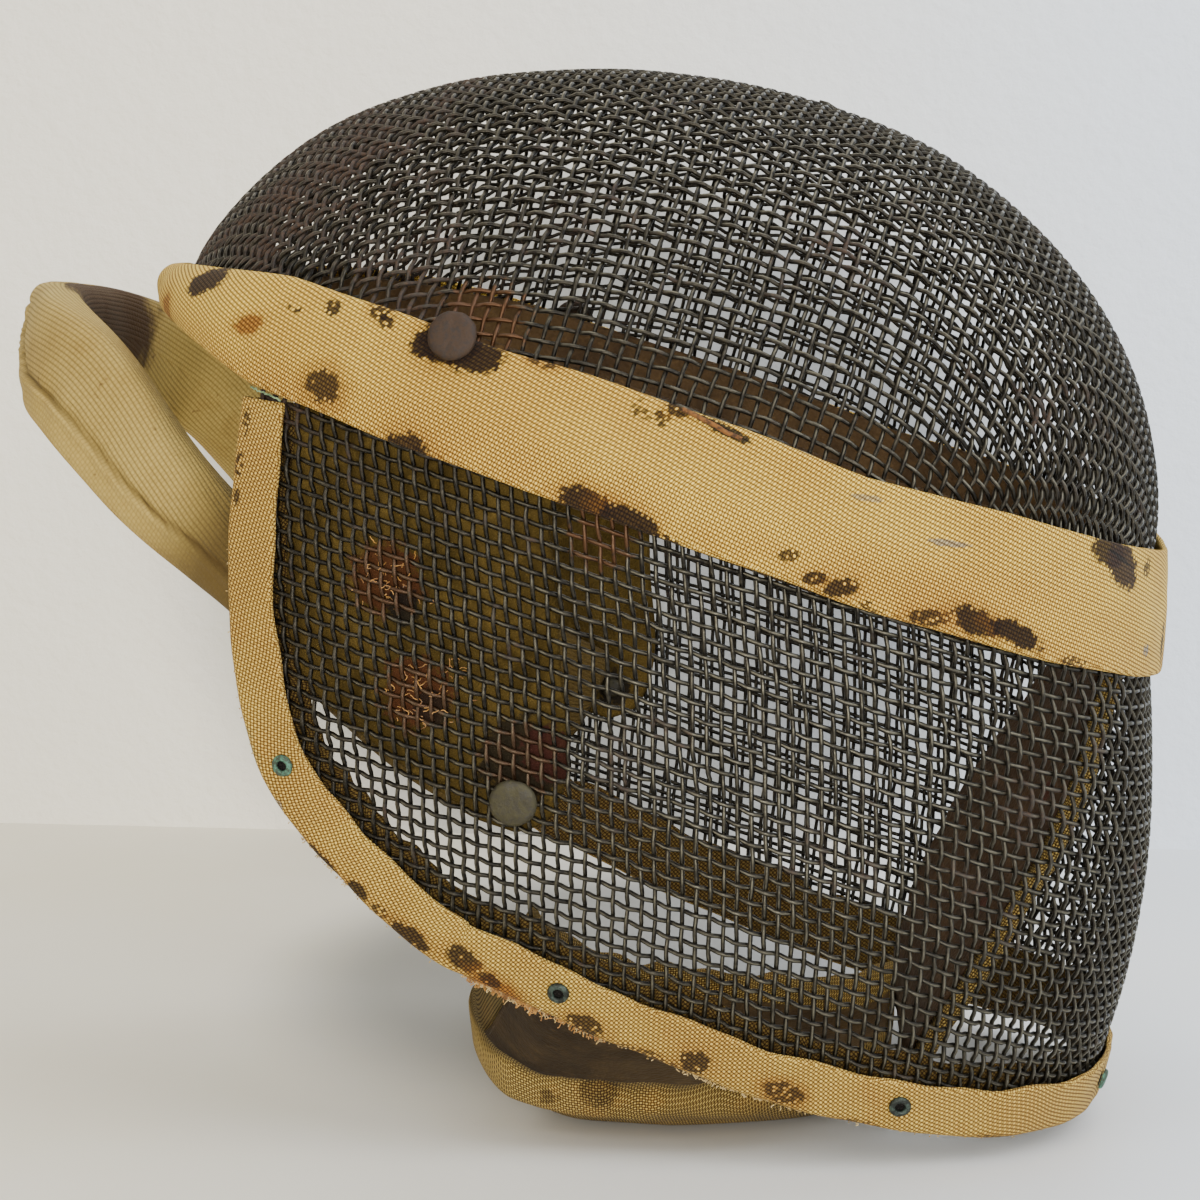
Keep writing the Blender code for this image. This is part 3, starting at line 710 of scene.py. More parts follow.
def ribbed_canvas(name, light, shade, rib, thread):
    """Soft cloth with lengthwise ribs, gone beige, with painted shade in its rib hollows and thread gaps,
    stained brown where the neck lay on it with painted shade of the strap's inner hollow there too, and
    with painted shade where it runs inside the mask.
    """
    made, nodes, links, bsdf = new_material(name)
    place = object_place(nodes)
    cloth = nodes.new("ShaderNodeUVMap")
    cloth.uv_map = "cloth"
    weave = put_group(
        nodes, links, WEAVE, Cloth=cloth.outputs[0], Lengthwise=thread, Crosswise=rib, Wander=0.0003,
    )
    ribbed = nodes.new("ShaderNodeAttribute")
    ribbed.attribute_name = "ribbed"
    worn = nodes.new("ShaderNodeAttribute")
    worn.attribute_name = "worn"
    split = nodes.new("ShaderNodeSeparateXYZ")
    links.new(cloth.outputs[0], split.inputs[0])
    turn = maths(nodes, links, "MULTIPLY", split.outputs[1], rib * math.pi)
    wave = maths(nodes, links, "ABSOLUTE", maths(nodes, links, "SINE", turn))
    ridge = maths(nodes, links, "POWER", wave, 0.7)
    broad = spread(nodes, links, noise(nodes, links, place, 30.0, 4.0), 0.36, 0.68)
    colour = mix(nodes, links, broad, light, shade)
    patches = spread(nodes, links, noise(nodes, links, place, 85.0, 5.0, 0.7), 0.5, 0.75)
    colour = mix(nodes, links, maths(nodes, links, "MULTIPLY", patches, 0.4), colour, (0.27, 0.16, 0.040))
    specks = spread(nodes, links, noise(nodes, links, place, 330.0, 2.0), 0.69, 0.76)
    colour = mix(nodes, links, maths(nodes, links, "MULTIPLY", specks, 0.6), colour, (0.12, 0.055, 0.020))
    # Painted shade: the hollows between the ribs and the gaps between the threads are darkened.
    hollow = maths(nodes, links, "SUBTRACT", 1.0, ridge)
    hollow = maths(nodes, links, "MULTIPLY", hollow, ribbed.outputs["Fac"])
    hollow = maths(nodes, links, "MULTIPLY", hollow, 0.40)
    colour = mix(nodes, links, hollow, colour, (0.30, 0.24, 0.17), "MULTIPLY")
    gaps = maths(nodes, links, "MULTIPLY", weave["Gaps"], 0.5)
    colour = mix(nodes, links, gaps, colour, (0.30, 0.24, 0.17), "MULTIPLY")
    # The dark brown on the strap's inner side at the back is partly a sweat stain, partly painted shade of
    # the hollow inside the strap's bend.
    ragged = maths(nodes, links, "MULTIPLY_ADD", noise(nodes, links, place, 120.0, 5.0, 0.65), 0.9, -0.45)
    stained = spread(nodes, links, maths(nodes, links, "ADD", worn.outputs["Fac"], ragged), 0.35, 0.75)
    stained = maths(nodes, links, "MULTIPLY", stained, 0.96)
    colour = mix(nodes, links, stained, colour, (0.040, 0.018, 0.006))
    # Painted shade: the strap is darker where it runs inside the mask.
    within = nodes.new("ShaderNodeAttribute")
    within.attribute_name = "within"
    colour = mix(nodes, links, within.outputs["Fac"], colour, (0.085, 0.055, 0.017))
    stitched = nodes.new("ShaderNodeAttribute")
    stitched.attribute_name = "stitched"
    sunk = maths(nodes, links, "MULTIPLY", stitched.outputs["Fac"], 0.85)
    colour = mix(nodes, links, sunk, colour, (0.075, 0.045, 0.014))
    links.new(colour, bsdf.inputs["Base Color"])
    bsdf.inputs["Roughness"].default_value = 0.95
    bsdf.inputs["Specular IOR Level"].default_value = 0.18
    bsdf.inputs["Sheen Weight"].default_value = 0.04
    bsdf.inputs["Sheen Roughness"].default_value = 0.5
    ribs = maths(nodes, links, "MULTIPLY", ridge, ribbed.outputs["Fac"])
    threads = maths(nodes, links, "MULTIPLY", weave["Height"], 0.5)
    height = maths(nodes, links, "ADD", ribs, threads)
    height = maths(nodes, links, "ADD", height, noise(nodes, links, place, 2400.0))
    bump(nodes, links, bsdf, height, 0.00024, 0.8)
    return made


def wire_steel(name, rusty):
    """Dark steel wire, with a painted highlight along the upper, outer side of each wire, and crusts of
    rust.
    """
    made, nodes, links, bsdf = new_material(name)
    place = object_place(nodes)
    tone = mix(
        nodes, links, spread(nodes, links, noise(nodes, links, place, 700.0, 3.0), 0.36, 0.68),
        (0.007, 0.0055, 0.0035), (0.034, 0.029, 0.019),
    )
    # Painted highlight: the wire is lighter, in random patches, on the side that faces out of the mask and
    # up, where light falls.
    outwards = vector_maths(nodes, links, "SUBTRACT", place, MASK_MIDDLE)
    outwards = vector_maths(nodes, links, "NORMALIZE", outwards)
    upper_side = vector_maths(nodes, links, "ADD", outwards, (-0.2, -0.1, 0.5))
    upper_side = vector_maths(nodes, links, "NORMALIZE", upper_side)
    faces = nodes.new("ShaderNodeTexCoord").outputs["Normal"]
    painted_highlight = spread(nodes, links, vector_maths(nodes, links, "DOT_PRODUCT", faces, upper_side), 0.82, 1.0)
    patchy_highlight = spread(nodes, links, noise(nodes, links, place, 360.0, 3.0), 0.34, 0.62, 0.22, 0.95)
    tone = mix(nodes, links, maths(nodes, links, "MULTIPLY", painted_highlight, patchy_highlight), tone, (0.115, 0.105, 0.074))
    patches = noise(nodes, links, place, 34.0, 5.0, 0.7)
    split = nodes.new("ShaderNodeSeparateXYZ")
    links.new(place, split.inputs[0])
    back = spread(nodes, links, split.outputs[0], 0.02, -0.085, 0.0, 0.20)
    high = spread(nodes, links, split.outputs[2], 0.13, 0.18)
    more = maths(nodes, links, "MULTIPLY", back, high)
    fine = maths(nodes, links, "MULTIPLY_ADD", noise(nodes, links, place, 260.0, 4.0, 0.7), 0.5, -0.25)
    amount = maths(nodes, links, "ADD", maths(nodes, links, "ADD", patches, more), fine)
    rust = spread(nodes, links, amount, 0.56, 0.76)
    grain = mix(
        nodes, links, spread(nodes, links, noise(nodes, links, place, 1500.0, 3.0), 0.35, 0.7),
        (0.011, 0.005, 0.0025), (0.056, 0.024, 0.008),
    )
    colour = mix(nodes, links, maths(nodes, links, "MULTIPLY", rust, 0.85), tone, grain)
    ragged = maths(nodes, links, "MULTIPLY_ADD", noise(nodes, links, place, 420.0, 4.0, 0.7), 2.2, -1.1)
    colour = add_stains(nodes, links, colour, rusty, place, ragged)
    links.new(colour, bsdf.inputs["Base Color"])
    bare = maths(nodes, links, "SUBTRACT", 1.0, rust)
    links.new(maths(nodes, links, "MULTIPLY", bare, 0.7), bsdf.inputs["Metallic"])
    links.new(maths(nodes, links, "MULTIPLY_ADD", rust, 0.40, 0.36), bsdf.inputs["Roughness"])
    bump(nodes, links, bsdf, noise(nodes, links, place, 3000.0, 3.0), 0.0002, 0.4)
    return made


def leather(name, dark, light, stains=(), felt=False):
    """Old dry leather with blotches and creases, or its rough side, which is more like felt."""
    made, nodes, links, bsdf = new_material(name)
    place = object_place(nodes)
    blotch = spread(nodes, links, noise(nodes, links, place, 55.0, 6.0, 0.7), 0.3, 0.72)
    colour = mix(nodes, links, blotch, dark, light)
    worn = spread(nodes, links, noise(nodes, links, place, 260.0 if felt else 190.0, 5.0, 0.7), 0.5, 0.75)
    lighter = tuple(min(1.0, c * 1.8) for c in light)
    colour = mix(nodes, links, maths(nodes, links, "MULTIPLY", worn, 0.5), colour, lighter)
    ragged = maths(nodes, links, "MULTIPLY_ADD", noise(nodes, links, place, 300.0, 4.0, 0.7), 1.6, -0.8)
    colour = add_stains(nodes, links, colour, stains, place, ragged)
    links.new(colour, bsdf.inputs["Base Color"])
    bsdf.inputs["Roughness"].default_value = 0.95 if felt else 0.72
    bsdf.inputs["Specular IOR Level"].default_value = 0.12 if felt else 0.3
    pores = nodes.new("ShaderNodeTexVoronoi")
    pores.inputs["Scale"].default_value = 1500.0 if felt else 900.0
    links.new(place, pores.inputs["Vector"])
    creases = noise(nodes, links, place, 900.0 if felt else 260.0, 5.0, 0.7)
    bump(nodes, links, bsdf, maths(nodes, links, "ADD", pores.outputs["Distance"], creases), 0.0004, 0.6)
    return made


def old_metal(name, base, spots, metallic, rough, spot_size=900.0, amount=(0.42, 0.62)):
    """Dull metal with a second, crusty colour in spots."""
    made, nodes, links, bsdf = new_material(name)
    place = object_place(nodes)
    crust = spread(nodes, links, noise(nodes, links, place, spot_size, 4.0, 0.65), *amount)
    links.new(mix(nodes, links, crust, base, spots), bsdf.inputs["Base Color"])
    bare = maths(nodes, links, "SUBTRACT", 1.0, crust)
    links.new(maths(nodes, links, "MULTIPLY", bare, metallic), bsdf.inputs["Metallic"])
    bsdf.inputs["Roughness"].default_value = rough
    bump(nodes, links, bsdf, noise(nodes, links, place, 1400.0, 5.0), 0.0003, 0.6)
    return made


def yarn(name, dark, light):
    """Loose cotton threads."""
    made, nodes, links, bsdf = new_material(name)
    place = object_place(nodes)
    tone = spread(nodes, links, noise(nodes, links, place, 500.0, 3.0), 0.35, 0.65)
    links.new(mix(nodes, links, tone, dark, light), bsdf.inputs["Base Color"])
    bsdf.inputs["Roughness"].default_value = 0.95
    bsdf.inputs["Sheen Weight"].default_value = 0.2
    bump(nodes, links, bsdf, noise(nodes, links, place, 5000.0), 0.0001, 0.5)
    return made


# Making pieces


def keep(piece, slot, *nodes):
    """Puts a finished piece on the mask's one body."""
    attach(piece, ROOT)
    if nodes:
        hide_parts(*nodes)
    return piece


def piece_of(mesh, name, finish):
    data = bpy.data.meshes.new(name)
    mesh.to_mesh(data)
    mesh.free()
    data.shade_smooth()
    data.materials.append(finish)
    piece = bpy.data.objects.new(name, data)
    bpy.context.scene.collection.objects.link(piece)
    return piece


def rods(name, lines, radius, finish, sides=1):
    """Round wires or threads through lines of the shell's points, as one mesh."""
    curve = bpy.data.curves.new(name, "CURVE")
    curve.dimensions = "3D"
    curve.bevel_depth = radius * MM
    curve.bevel_resolution = sides
    curve.use_fill_caps = True
    for line in lines:
        place = to_world(line) * MM
        spline = curve.splines.new("POLY")
        spline.points.add(len(line) - 1)
        spline.points.foreach_set("co", np.column_stack([place, np.ones(len(place))]).ravel())
    holder = bpy.data.objects.new(name, curve)
    bpy.context.scene.collection.objects.link(holder)
    graph = bpy.context.evaluated_depsgraph_get()
    data = bpy.data.meshes.new_from_object(holder.evaluated_get(graph))
    bpy.data.objects.remove(holder)
    bpy.data.curves.remove(curve)
    data.name = name
    data.materials.clear()
    data.materials.append(finish)
    data.shade_smooth()
    piece = bpy.data.objects.new(name, data)
    bpy.context.scene.collection.objects.link(piece)
    return piece


def form(name, points, cloth, surface, finish, ring=False):
    """A closed form through a net of world points, (stations, places round the section, xyz).

    The last place round the section is the first again, and so is the last station of a ring.
    The cloth's own map and its place on the mask are nets of two numbers, in millimetres too.
    """
    stations, places = points.shape[:2]
    mesh = bmesh.new()
    cloth_map = mesh.loops.layers.uv.new("cloth")
    surface_map = mesh.loops.layers.uv.new("place")
    bmesh.ops.create_grid(mesh, x_segments=stations - 1, y_segments=places - 1, size=0.5)
    at = {}
    for vert in mesh.verts:
        i = round((vert.co.x + 0.5) * (stations - 1))
        j = round((vert.co.y + 0.5) * (places - 1))
        at[vert] = (i, j)
    for face in mesh.faces:
        for loop in face.loops:
            loop[cloth_map].uv = cloth[at[loop.vert]] * MM
            loop[surface_map].uv = surface[at[loop.vert]] * MM
    for vert, place in at.items():
        vert.co = points[place] * MM
    bmesh.ops.remove_doubles(mesh, verts=mesh.verts[:], dist=2e-6)
    if not ring:
        open_edges = [edge for edge in mesh.edges if edge.is_boundary]
        bmesh.ops.holes_fill(mesh, edges=open_edges, sides=0)
    bmesh.ops.recalc_face_normals(mesh, faces=mesh.faces[:])
    if mesh.calc_volume(signed=True) < 0.0:
        bmesh.ops.reverse_faces(mesh, faces=mesh.faces[:])
    return piece_of(mesh, name, finish)


def flat_section(flat, edge):
    """Places round a flat form's section: across its flats, out over its edges, and off its middle."""
    across = np.linspace(-1.0, 1.0, flat)
    turn = np.linspace(0.0, math.pi, edge + 2)[1:-1]
    sides = []
    for sign in (1.0, -1.0):
        sides.append(np.stack([across * sign, across * 0.0, across * 0.0 + sign], -1))
        sides.append(np.stack([turn * 0.0 + sign, np.sin(turn) * sign, np.cos(turn) * sign], -1))
    found = np.concatenate(sides)
    return np.concatenate([found, found[:1]])


def own_cloth(points, bias=(0.0, 0.0)):
    """A cloth's own map over a net of points: far along it and round its section, with its threads
    turned by two angles."""
    along = lengths(points.mean(axis=1))[:, None]
    steps = np.linalg.norm(np.diff(points, axis=1), axis=-1)
    aside = np.concatenate([np.zeros((len(points), 1)), np.cumsum(steps, axis=1)], axis=1)
    one, two = (math.radians(turn) for turn in bias)
    return np.stack([
        along * math.cos(one) + aside * math.sin(one),
        aside * math.cos(two) - along * math.sin(two),
    ], -1)


def coordinates(data):
    found = np.empty(len(data.vertices) * 3)
    data.vertices.foreach_get("co", found)
    return found.reshape(-1, 3) / MM


def set_coordinates(data, points):
    data.vertices.foreach_set("co", (points * MM).ravel())
    data.update()


def plump(piece, pressure, reach, held=()):
    """Lets air pressure fill a closed cloth form. No point moves further than its reach."""
    before = coordinates(piece.data)
    group = piece.vertex_groups.new(name="sewn down")
    if len(held):
        group.add([int(i) for i in held], 1.0, "REPLACE")
    cloth = piece.modifiers.new("cloth", "CLOTH")
    cloth.settings.use_pressure = True
    cloth.settings.uniform_pressure_force = pressure
    cloth.settings.effector_weights.gravity = 0.0
    cloth.settings.mass = 0.3
    cloth.settings.quality = 6
    cloth.settings.bending_stiffness = 0.4
    if len(held):
        cloth.settings.vertex_group_mass = group.name
    cloth.point_cache.frame_start = 1
    cloth.point_cache.frame_end = 20
    for number in range(1, 21):
        bpy.context.scene.frame_set(number)
    graph = bpy.context.evaluated_depsgraph_get()
    moved = coordinates(piece.evaluated_get(graph).data) - before
    piece.modifiers.remove(cloth)
    piece.vertex_groups.remove(group)
    bpy.context.scene.frame_set(1)
    far = np.linalg.norm(moved, axis=1, keepdims=True)
    moved *= np.tanh(far / reach) * reach / np.maximum(far, 1e-9)
    set_coordinates(piece.data, before + moved)


def subdivided(piece, levels):
    """A piece with its subdivision made part of its mesh."""
    soft = piece.modifiers.new("soft", "SUBSURF")
    soft.levels = levels
    soft.render_levels = levels
    graph = bpy.context.evaluated_depsgraph_get()
    data = bpy.data.meshes.new_from_object(
        piece.evaluated_get(graph), preserve_all_data_layers=True, depsgraph=graph)
    piece.modifiers.remove(soft)
    old = piece.data
    piece.data = data
    data.name = piece.name
    bpy.data.meshes.remove(old)
    data.shade_smooth()
    return piece


# The woven wire


def even_steps(points, step):
    """Points at even steps along a line."""
    far = lengths(points)
    at = np.arange(0.0, far[-1], step)
    return np.stack([np.interp(at, far, points[:, axis]) for axis in range(3)], -1)


def crown_profile(way, low):
    """The crown's line from its top to its foot: forwards, backwards, or down its right side."""
    climb = np.linspace(0.0, math.pi / 2.0, 3000)
    up = CROWN_HEIGHT * np.cos(climb)
    front, back, widest, half = section(up)
    if way == "aside":
        part = np.clip((CROWN_TOP_ALONG - widest) / (front - widest), 0.0, 1.0)
        side = -half * (1.0 - part**FRONT_POWER) ** (1.0 / FRONT_POWER)
        line = np.stack([np.full_like(up, CROWN_TOP_ALONG), side, up], -1)
    else:
        line = np.stack([front if way == "forwards" else back, np.zeros_like(up), up], -1)
    line[0] = (CROWN_TOP_ALONG, 0.0, CROWN_HEIGHT)
    foot = line[-1] + np.outer(np.linspace(0.1, -low, 30), (0.0, 0.0, -1.0))
    return np.concatenate([line, foot])


def next_corner(behind, one, two):
    """The crossing on the skin that lies one cell from two others, away from the one behind them."""
    line = two - one
    gap = np.linalg.norm(line, axis=-1, keepdims=True)
    run = line / gap
    near = (CROWN_CELL_ALONG**2 - CROWN_CELL_OVER**2 + gap**2) / (2.0 * gap)
    square = CROWN_CELL_ALONG**2 - near**2
    reach = np.sqrt(np.maximum(square, 1e-6))
    centre = one + run * near

    def clear_of(vector, *others):
        for other in others:
            vector = vector - other * np.sum(vector * other, -1, keepdims=True)
        return unit(vector)

    ahead = clear_of(centre - behind, run)
    out = clear_of(normal_at(centre, True), run, ahead)
    low = np.full(reach.shape, math.radians(-80.0))
    high = np.full(reach.shape, math.radians(60.0))
    for _ in range(34):
        turn = 0.5 * (low + high)
        found = centre + reach * (np.cos(turn) * ahead + np.sin(turn) * out)
        over = outside(found, True)[..., None] > 0.0
        high = np.where(over, turn, high)
        low = np.where(over, low, turn)
    return found, square[..., 0] > 0.0


def crown_quarter(way, low=-3.0):
    """A quarter of the crown's net, with cells of one size all over, as woven cloth drapes a dome."""
    rows = even_steps(crown_profile(way, low), CROWN_CELL_ALONG)
    columns = even_steps(crown_profile("aside", low), CROWN_CELL_OVER)
    high, wide = len(rows) + 30, len(columns) + 30
    net = np.full((high, wide, 3), np.nan)
    net[:len(rows), 0] = rows
    net[0, :len(columns)] = columns
    for total in range(2, high + wide - 1):
        i = np.arange(max(1, total - wide + 1), min(high - 1, total - 1) + 1)
        j = total - i
        behind, one, two = net[i - 1, j - 1], net[i - 1, j], net[i, j - 1]
        whole = np.isfinite(behind + one + two).all(-1) & (one[:, 2] > low) & (two[:, 2] > low)
        if whole.any():
            found, fits = next_corner(behind[whole], one[whole], two[whole])
            net[i[whole][fits], j[whole][fits]] = found[fits]
    return net


def crown_net():
    """All of the crown's crossings: rows from back to front, columns from the left side to the right."""
    front, back = crown_quarter("forwards"), crown_quarter("backwards")
    right = np.concatenate([back[:0:-1], front])
    top = len(back) - 1
    for _ in range(6):
        near = slice(top - 6, top + 7)
        eased = (right[top - 7:top + 6] + 2.0 * right[near] + right[top - 5:top + 8]) / 4.0
        right[near] = np.where(np.isfinite(eased).all(-1, keepdims=True), eased, right[near])
    right[:, 0, 1] = 0.0
    left = right[:, :0:-1] * (1.0, -1.0, 1.0)
    net = np.concatenate([left, right], axis=1)
    net[~(net[..., 2] > 1.0)] = np.nan
    return net


def face_net():
    """All of the face's crossings: rows down from the band, columns from the left side to the right."""
    line = skin(SEAM_ANGLES, -1e-6)
    far = lengths(line)
    at = np.arange(0.0, far[-1], FACE_CELL_ROUND)
    foot = np.stack([np.interp(at, far, line[:, axis]) for axis in range(2)], -1)
    run = unit(np.gradient(foot, axis=0))
    ray = np.stack([-run[:, 1], run[:, 0]], -1)
    ray[0] = (1.0, 0.0)
    ray *= np.sign(np.sum(ray * (foot - (WIDEST_ALONG, 0.0)), -1, keepdims=True))
    deep = np.arange(0.6, FACE_DEEP, FACE_CELL_DOWN)[:, None]
    start = np.stack([foot[:, 0] + 0.427 * deep - 0.00085 * deep**2, foot[:, 1] + 0.0 * deep], -1)
    low, high = np.full(start.shape[:2], -70.0), np.full(start.shape[:2], 60.0)
    for _ in range(40):
        step = 0.5 * (low + high)
        flat = start + ray * step[..., None]
        points = np.concatenate([flat, np.broadcast_to(-deep, step.shape)[..., None]], -1)
        over = outside(points) > 0.0
        high, low = np.where(over, step, high), np.where(over, low, step)
    angle = np.abs(angle_round(points))
    inside = (np.degrees(angle) < RIM[-1][0] - 0.6) & (points[..., 2] > rim_depth(angle) + 1.2)
    points[~inside] = np.nan
    left = points[:, :0:-1] * (1.0, -1.0, 1.0)
    return np.concatenate([left, points], axis=1)


RIM_CURVE = smooth_curve([(degrees, up, 0.0) for degrees, up in RIM], 600)


def rim_depth(angle):
    """The height of the opening's edge at some angles."""
    return np.interp(np.degrees(np.abs(angle)), RIM_CURVE[:, 0], RIM_CURVE[:, 1])


def bent_wire(crossings, normals, over):
    """A wire's line through a row of crossings: over one wire and under the next."""
    step = np.gradient(crossings, axis=0) * WIRE_FLAT
    lift = normals * (over * WIRE_RISE - WIRE_DEPTH)[:, None]
    line = np.stack([crossings - step + lift, crossings + step + lift], 1)
    return line.reshape(-1, 3)


def woven(name, net, normals, node, finish):
    """The two families of wires through a net of crossings."""
    parity = np.indices(net.shape[:2]).sum(axis=0) % 2 * 2.0 - 1.0
    for word, order, sign in (("over", (0, 1, 2), 1.0), ("lengthwise", (1, 0, 2), -1.0)):
        lines = []
        flat_parity = parity if order[0] == 0 else parity.T
        for row, out, over in zip(net.transpose(order), normals.transpose(order), flat_parity):
            whole = np.isfinite(row[:, 0])
            breaks = np.flatnonzero(np.diff(np.concatenate([[0], whole.astype(int), [0]])))
            for start, end in breaks.reshape(-1, 2):
                if end - start > 2:
                    part = slice(start, end)
                    lines.append(bent_wire(row[part], out[part], over[part] * sign))
        keep(rods(f"{name}_{word}", lines, WIRE_RADIUS, finish), "steel_wire", node)


def wire_mesh():
    """The crown's and the face's woven wires, knocked a little out of true."""
    for name, net, node, crown, seed in (
        ("crown_wires", crown_net(), "crown_mesh", True, 11),
        ("face_wires", face_net(), "face_mesh", False, 23),
    ):
        chance = np.random.default_rng(seed)
        normals = normal_at(net, crown)
        dents = unevenness(np.nan_to_num(net), 34.0, seed) * 0.25
        net = net + normals * dents[..., None]
        wander = np.stack([unevenness(np.nan_to_num(net), 16.0, seed + k) for k in (1, 2, 3)], -1) * 0.16
        wander += chance.normal(scale=0.05, size=net.shape)
        wander -= normals * np.sum(wander * normals, -1, keepdims=True)
        woven(name, net + wander, normals, node, STEEL)


# Bands and bindings


def band_edges(angle):
    degrees = np.degrees(np.abs(angle))
    table = np.array(BAND)
    return np.interp(degrees, table[:, 0], table[:, 1]), np.interp(degrees, table[:, 0], table[:, 2])


def band_net(places, stations, low, high, near, far, fullness):
    """A ring of cloth round the seam, between two heights and two distances from the skin.

    It bridges the seam's hollow, and the back of it stands off in a soft fold if it has fullness."""
    ahead = np.linspace(SEAM_FAR[-1], -SEAM_FAR[-1], stations)
    angle = angle_of(ahead)[:, None]
    angle[0], angle[-1] = -math.pi, math.pi
    low, high = low(angle), high(angle)
    half_thick = (far - near) / 2.0
    half_wide = (high - low) / 2.0
    across = places[:, 0] * (1.0 - half_thick / half_wide) + places[:, 1] * half_thick / half_wide
    off = (near + far) / 2.0 + places[:, 2] * half_thick
    up = (low + high) / 2.0 + half_wide * across
    out = unit(outward(angle, low) + outward(angle, high))
    bottom, top = skin(angle, low), skin(angle, high)
    here = skin(np.broadcast_to(angle, up.shape), up)
    part = ((across + 1.0) / 2.0)[..., None]
    chord = bottom + (top - bottom) * part
    arch = np.maximum(0.0, 1.0 - across**2)
    if fullness:
        hollow = np.sum((chord - here) * out, -1) + fullness * arch
        raised = 0.5 * (hollow + np.sqrt(hollow**2 + 0.09))
        fold = 3.3 * smoothly(118.0, 142.0, np.degrees(np.abs(angle))) * np.sqrt(arch)
        outer = places[:, 2] > -0.5
        off = off + raised + fold * np.where(outer, 1.0, 0.35)
        rumple = 0.16 + 0.30 * smoothly(118.0, 140.0, np.degrees(np.abs(angle)))
        off = off + unevenness(here, 19.0, 5) * rumple * (0.35 + 0.65 * arch)
        edge = np.abs(across) ** 4 * np.sign(across)
        here = here + np.stack([up * 0.0, up * 0.0, unevenness(here, 26.0, 8) * 0.24 * edge], -1)
    points = here + out * off[..., None]
    surface = np.stack([np.broadcast_to(ahead[:, None], up.shape), up], -1)
    return to_world(points), surface


def brow_band():
    """The canvas band over the seam of crown and face."""
    places = flat_section(26, 5)
    points, surface = band_net(
        places, 480, lambda a: band_edges(a)[0], lambda a: band_edges(a)[1], 0.9, 2.4, 0.5)
    cloth = own_cloth(points, (17.4, 9.4))
    band = form("band_canvas", points, cloth, surface, BAND_CANVAS, ring=True)
    keep(band, "cream_canvas", "brow_band")


def inner_band():
    """The leather band inside the seam, a little wider than the canvas one round the face."""
    def wider(angle):
        return 1.6 * smoothly(122.0, 104.0, np.degrees(np.abs(angle)))

    places = flat_section(12, 3)
    points, surface = band_net(
        places, 360, lambda a: band_edges(a)[0] + 1.0 - wider(a),
        lambda a: band_edges(a)[1] - 1.0 + wider(a), -4.5, -2.9, 0.0)
    band = form("band_leather", points, own_cloth(points), surface, BAND_LEATHER, ring=True)
    keep(band, "brown_leather", "inner_band")


def rim_line(stations):
    """Angles and heights at even steps along the opening's edge, from the right temple to the left."""
    degrees, up = RIM_CURVE[:, 0], RIM_CURVE[:, 1]
    angle = np.radians(np.concatenate([degrees[::-1], -degrees[1:]]))
    up = np.concatenate([up[::-1], up[1:]])
    far = lengths(skin(angle, up))
    at = np.linspace(0.0, far[-1], stations)
    return np.interp(at, far, angle), np.interp(at, far, up)


def rim_frame(angle, up):
    """The opening's edge, its outward normals, and the way from it into the mesh."""
    edge = skin(angle, up)
    out = outward(angle, up)
    run = unit(np.gradient(edge, axis=0))
    return edge, out, run, unit(np.cross(out, run))


def on_rim(edge, out, inwards, into, off):
    """Points beside the opening's edge: so far into the mesh, or beyond it, and so far off its skin."""
    straight = edge[:, None] + inwards[:, None] * into[..., None]
    laid = onto_skin(straight)
    inside = (into > 0.0)[..., None]
    base = np.where(inside, laid, straight)
    normal = np.where(inside, normal_at(laid), out[:, None])
    return base, base + normal * off[..., None]


def rim_binding():
    """Canvas folded over the edge of the face, its inner side a little wider than its outer."""
    stations = 490
    angle, up = rim_line(stations)
    edge, out, _, inwards = rim_frame(angle, up)
    wave = unevenness(edge, 17.0, 31)
    outer_wide = 10.5 + 0.35 * wave
    inner_wide = 10.8 + 3.4 * smoothly(-55.0, -85.0, up) + 0.8 * unevenness(edge, 9.0, 37)
    flat, fold, half = 12, 9, 0.65
    part = np.linspace(1.0, 0.0, flat)
    turn = np.linspace(0.0, math.pi, fold + 2)[1:-1]
    into = np.concatenate([
        outer_wide[:, None] * part,
        np.broadcast_to(-1.45 * np.sin(turn), (stations, fold)),
        inner_wide[:, None] * part[::-1],
    ], axis=1)
    off = np.concatenate([part * 0.0 + 1.45, -1.0 + 2.45 * np.cos(turn), part * 0.0 - 3.45])
    off = np.broadcast_to(off, into.shape)
    tangent = unit(np.stack([np.gradient(into, axis=1), np.gradient(off, axis=1)], -1))
    side = np.stack([tangent[..., 1], -tangent[..., 0]], -1)
    line = np.stack([into, off], -1)
    beyond = np.array([0.35, 0.6])[:, None] * half
    aside = np.array([0.6, -0.6])[:, None] * half
    outer, inner = line + side * half, (line - side * half)[:, ::-1]
    inner_cap = line[:, -1:] + tangent[:, -1:] * beyond + side[:, -1:] * aside
    outer_cap = line[:, :1] - tangent[:, :1] * beyond[::-1] - side[:, :1] * aside
    loop = np.concatenate([outer, inner_cap, inner, outer_cap, outer[:, :1]], axis=1)
    into, off = loop[..., 0], loop[..., 1]
    base, points = on_rim(edge, out, inwards, into, off)
    points = points + out[:, None] * (unevenness(base, 12.0, 41) * 0.18)[..., None]
    world = to_world(points)
    cloth = own_cloth(world, (24.0, 20.0))
    surface = np.stack([ahead_of(angle_round(base)), base[..., 2]], -1)
    # The inner flap's place is moved far off, so that the stains miss it and canvas() darkens it: partly
    # age, partly painted shade of the mask's inside.
    surface[..., 1] += np.where(off < -2.2, 1000.0, 0.0)
    binding = form("binding_canvas", world, cloth, surface, BINDING_CANVAS)
    keep(binding, "cream_canvas", "rim_binding")


# Pads, strap and bib


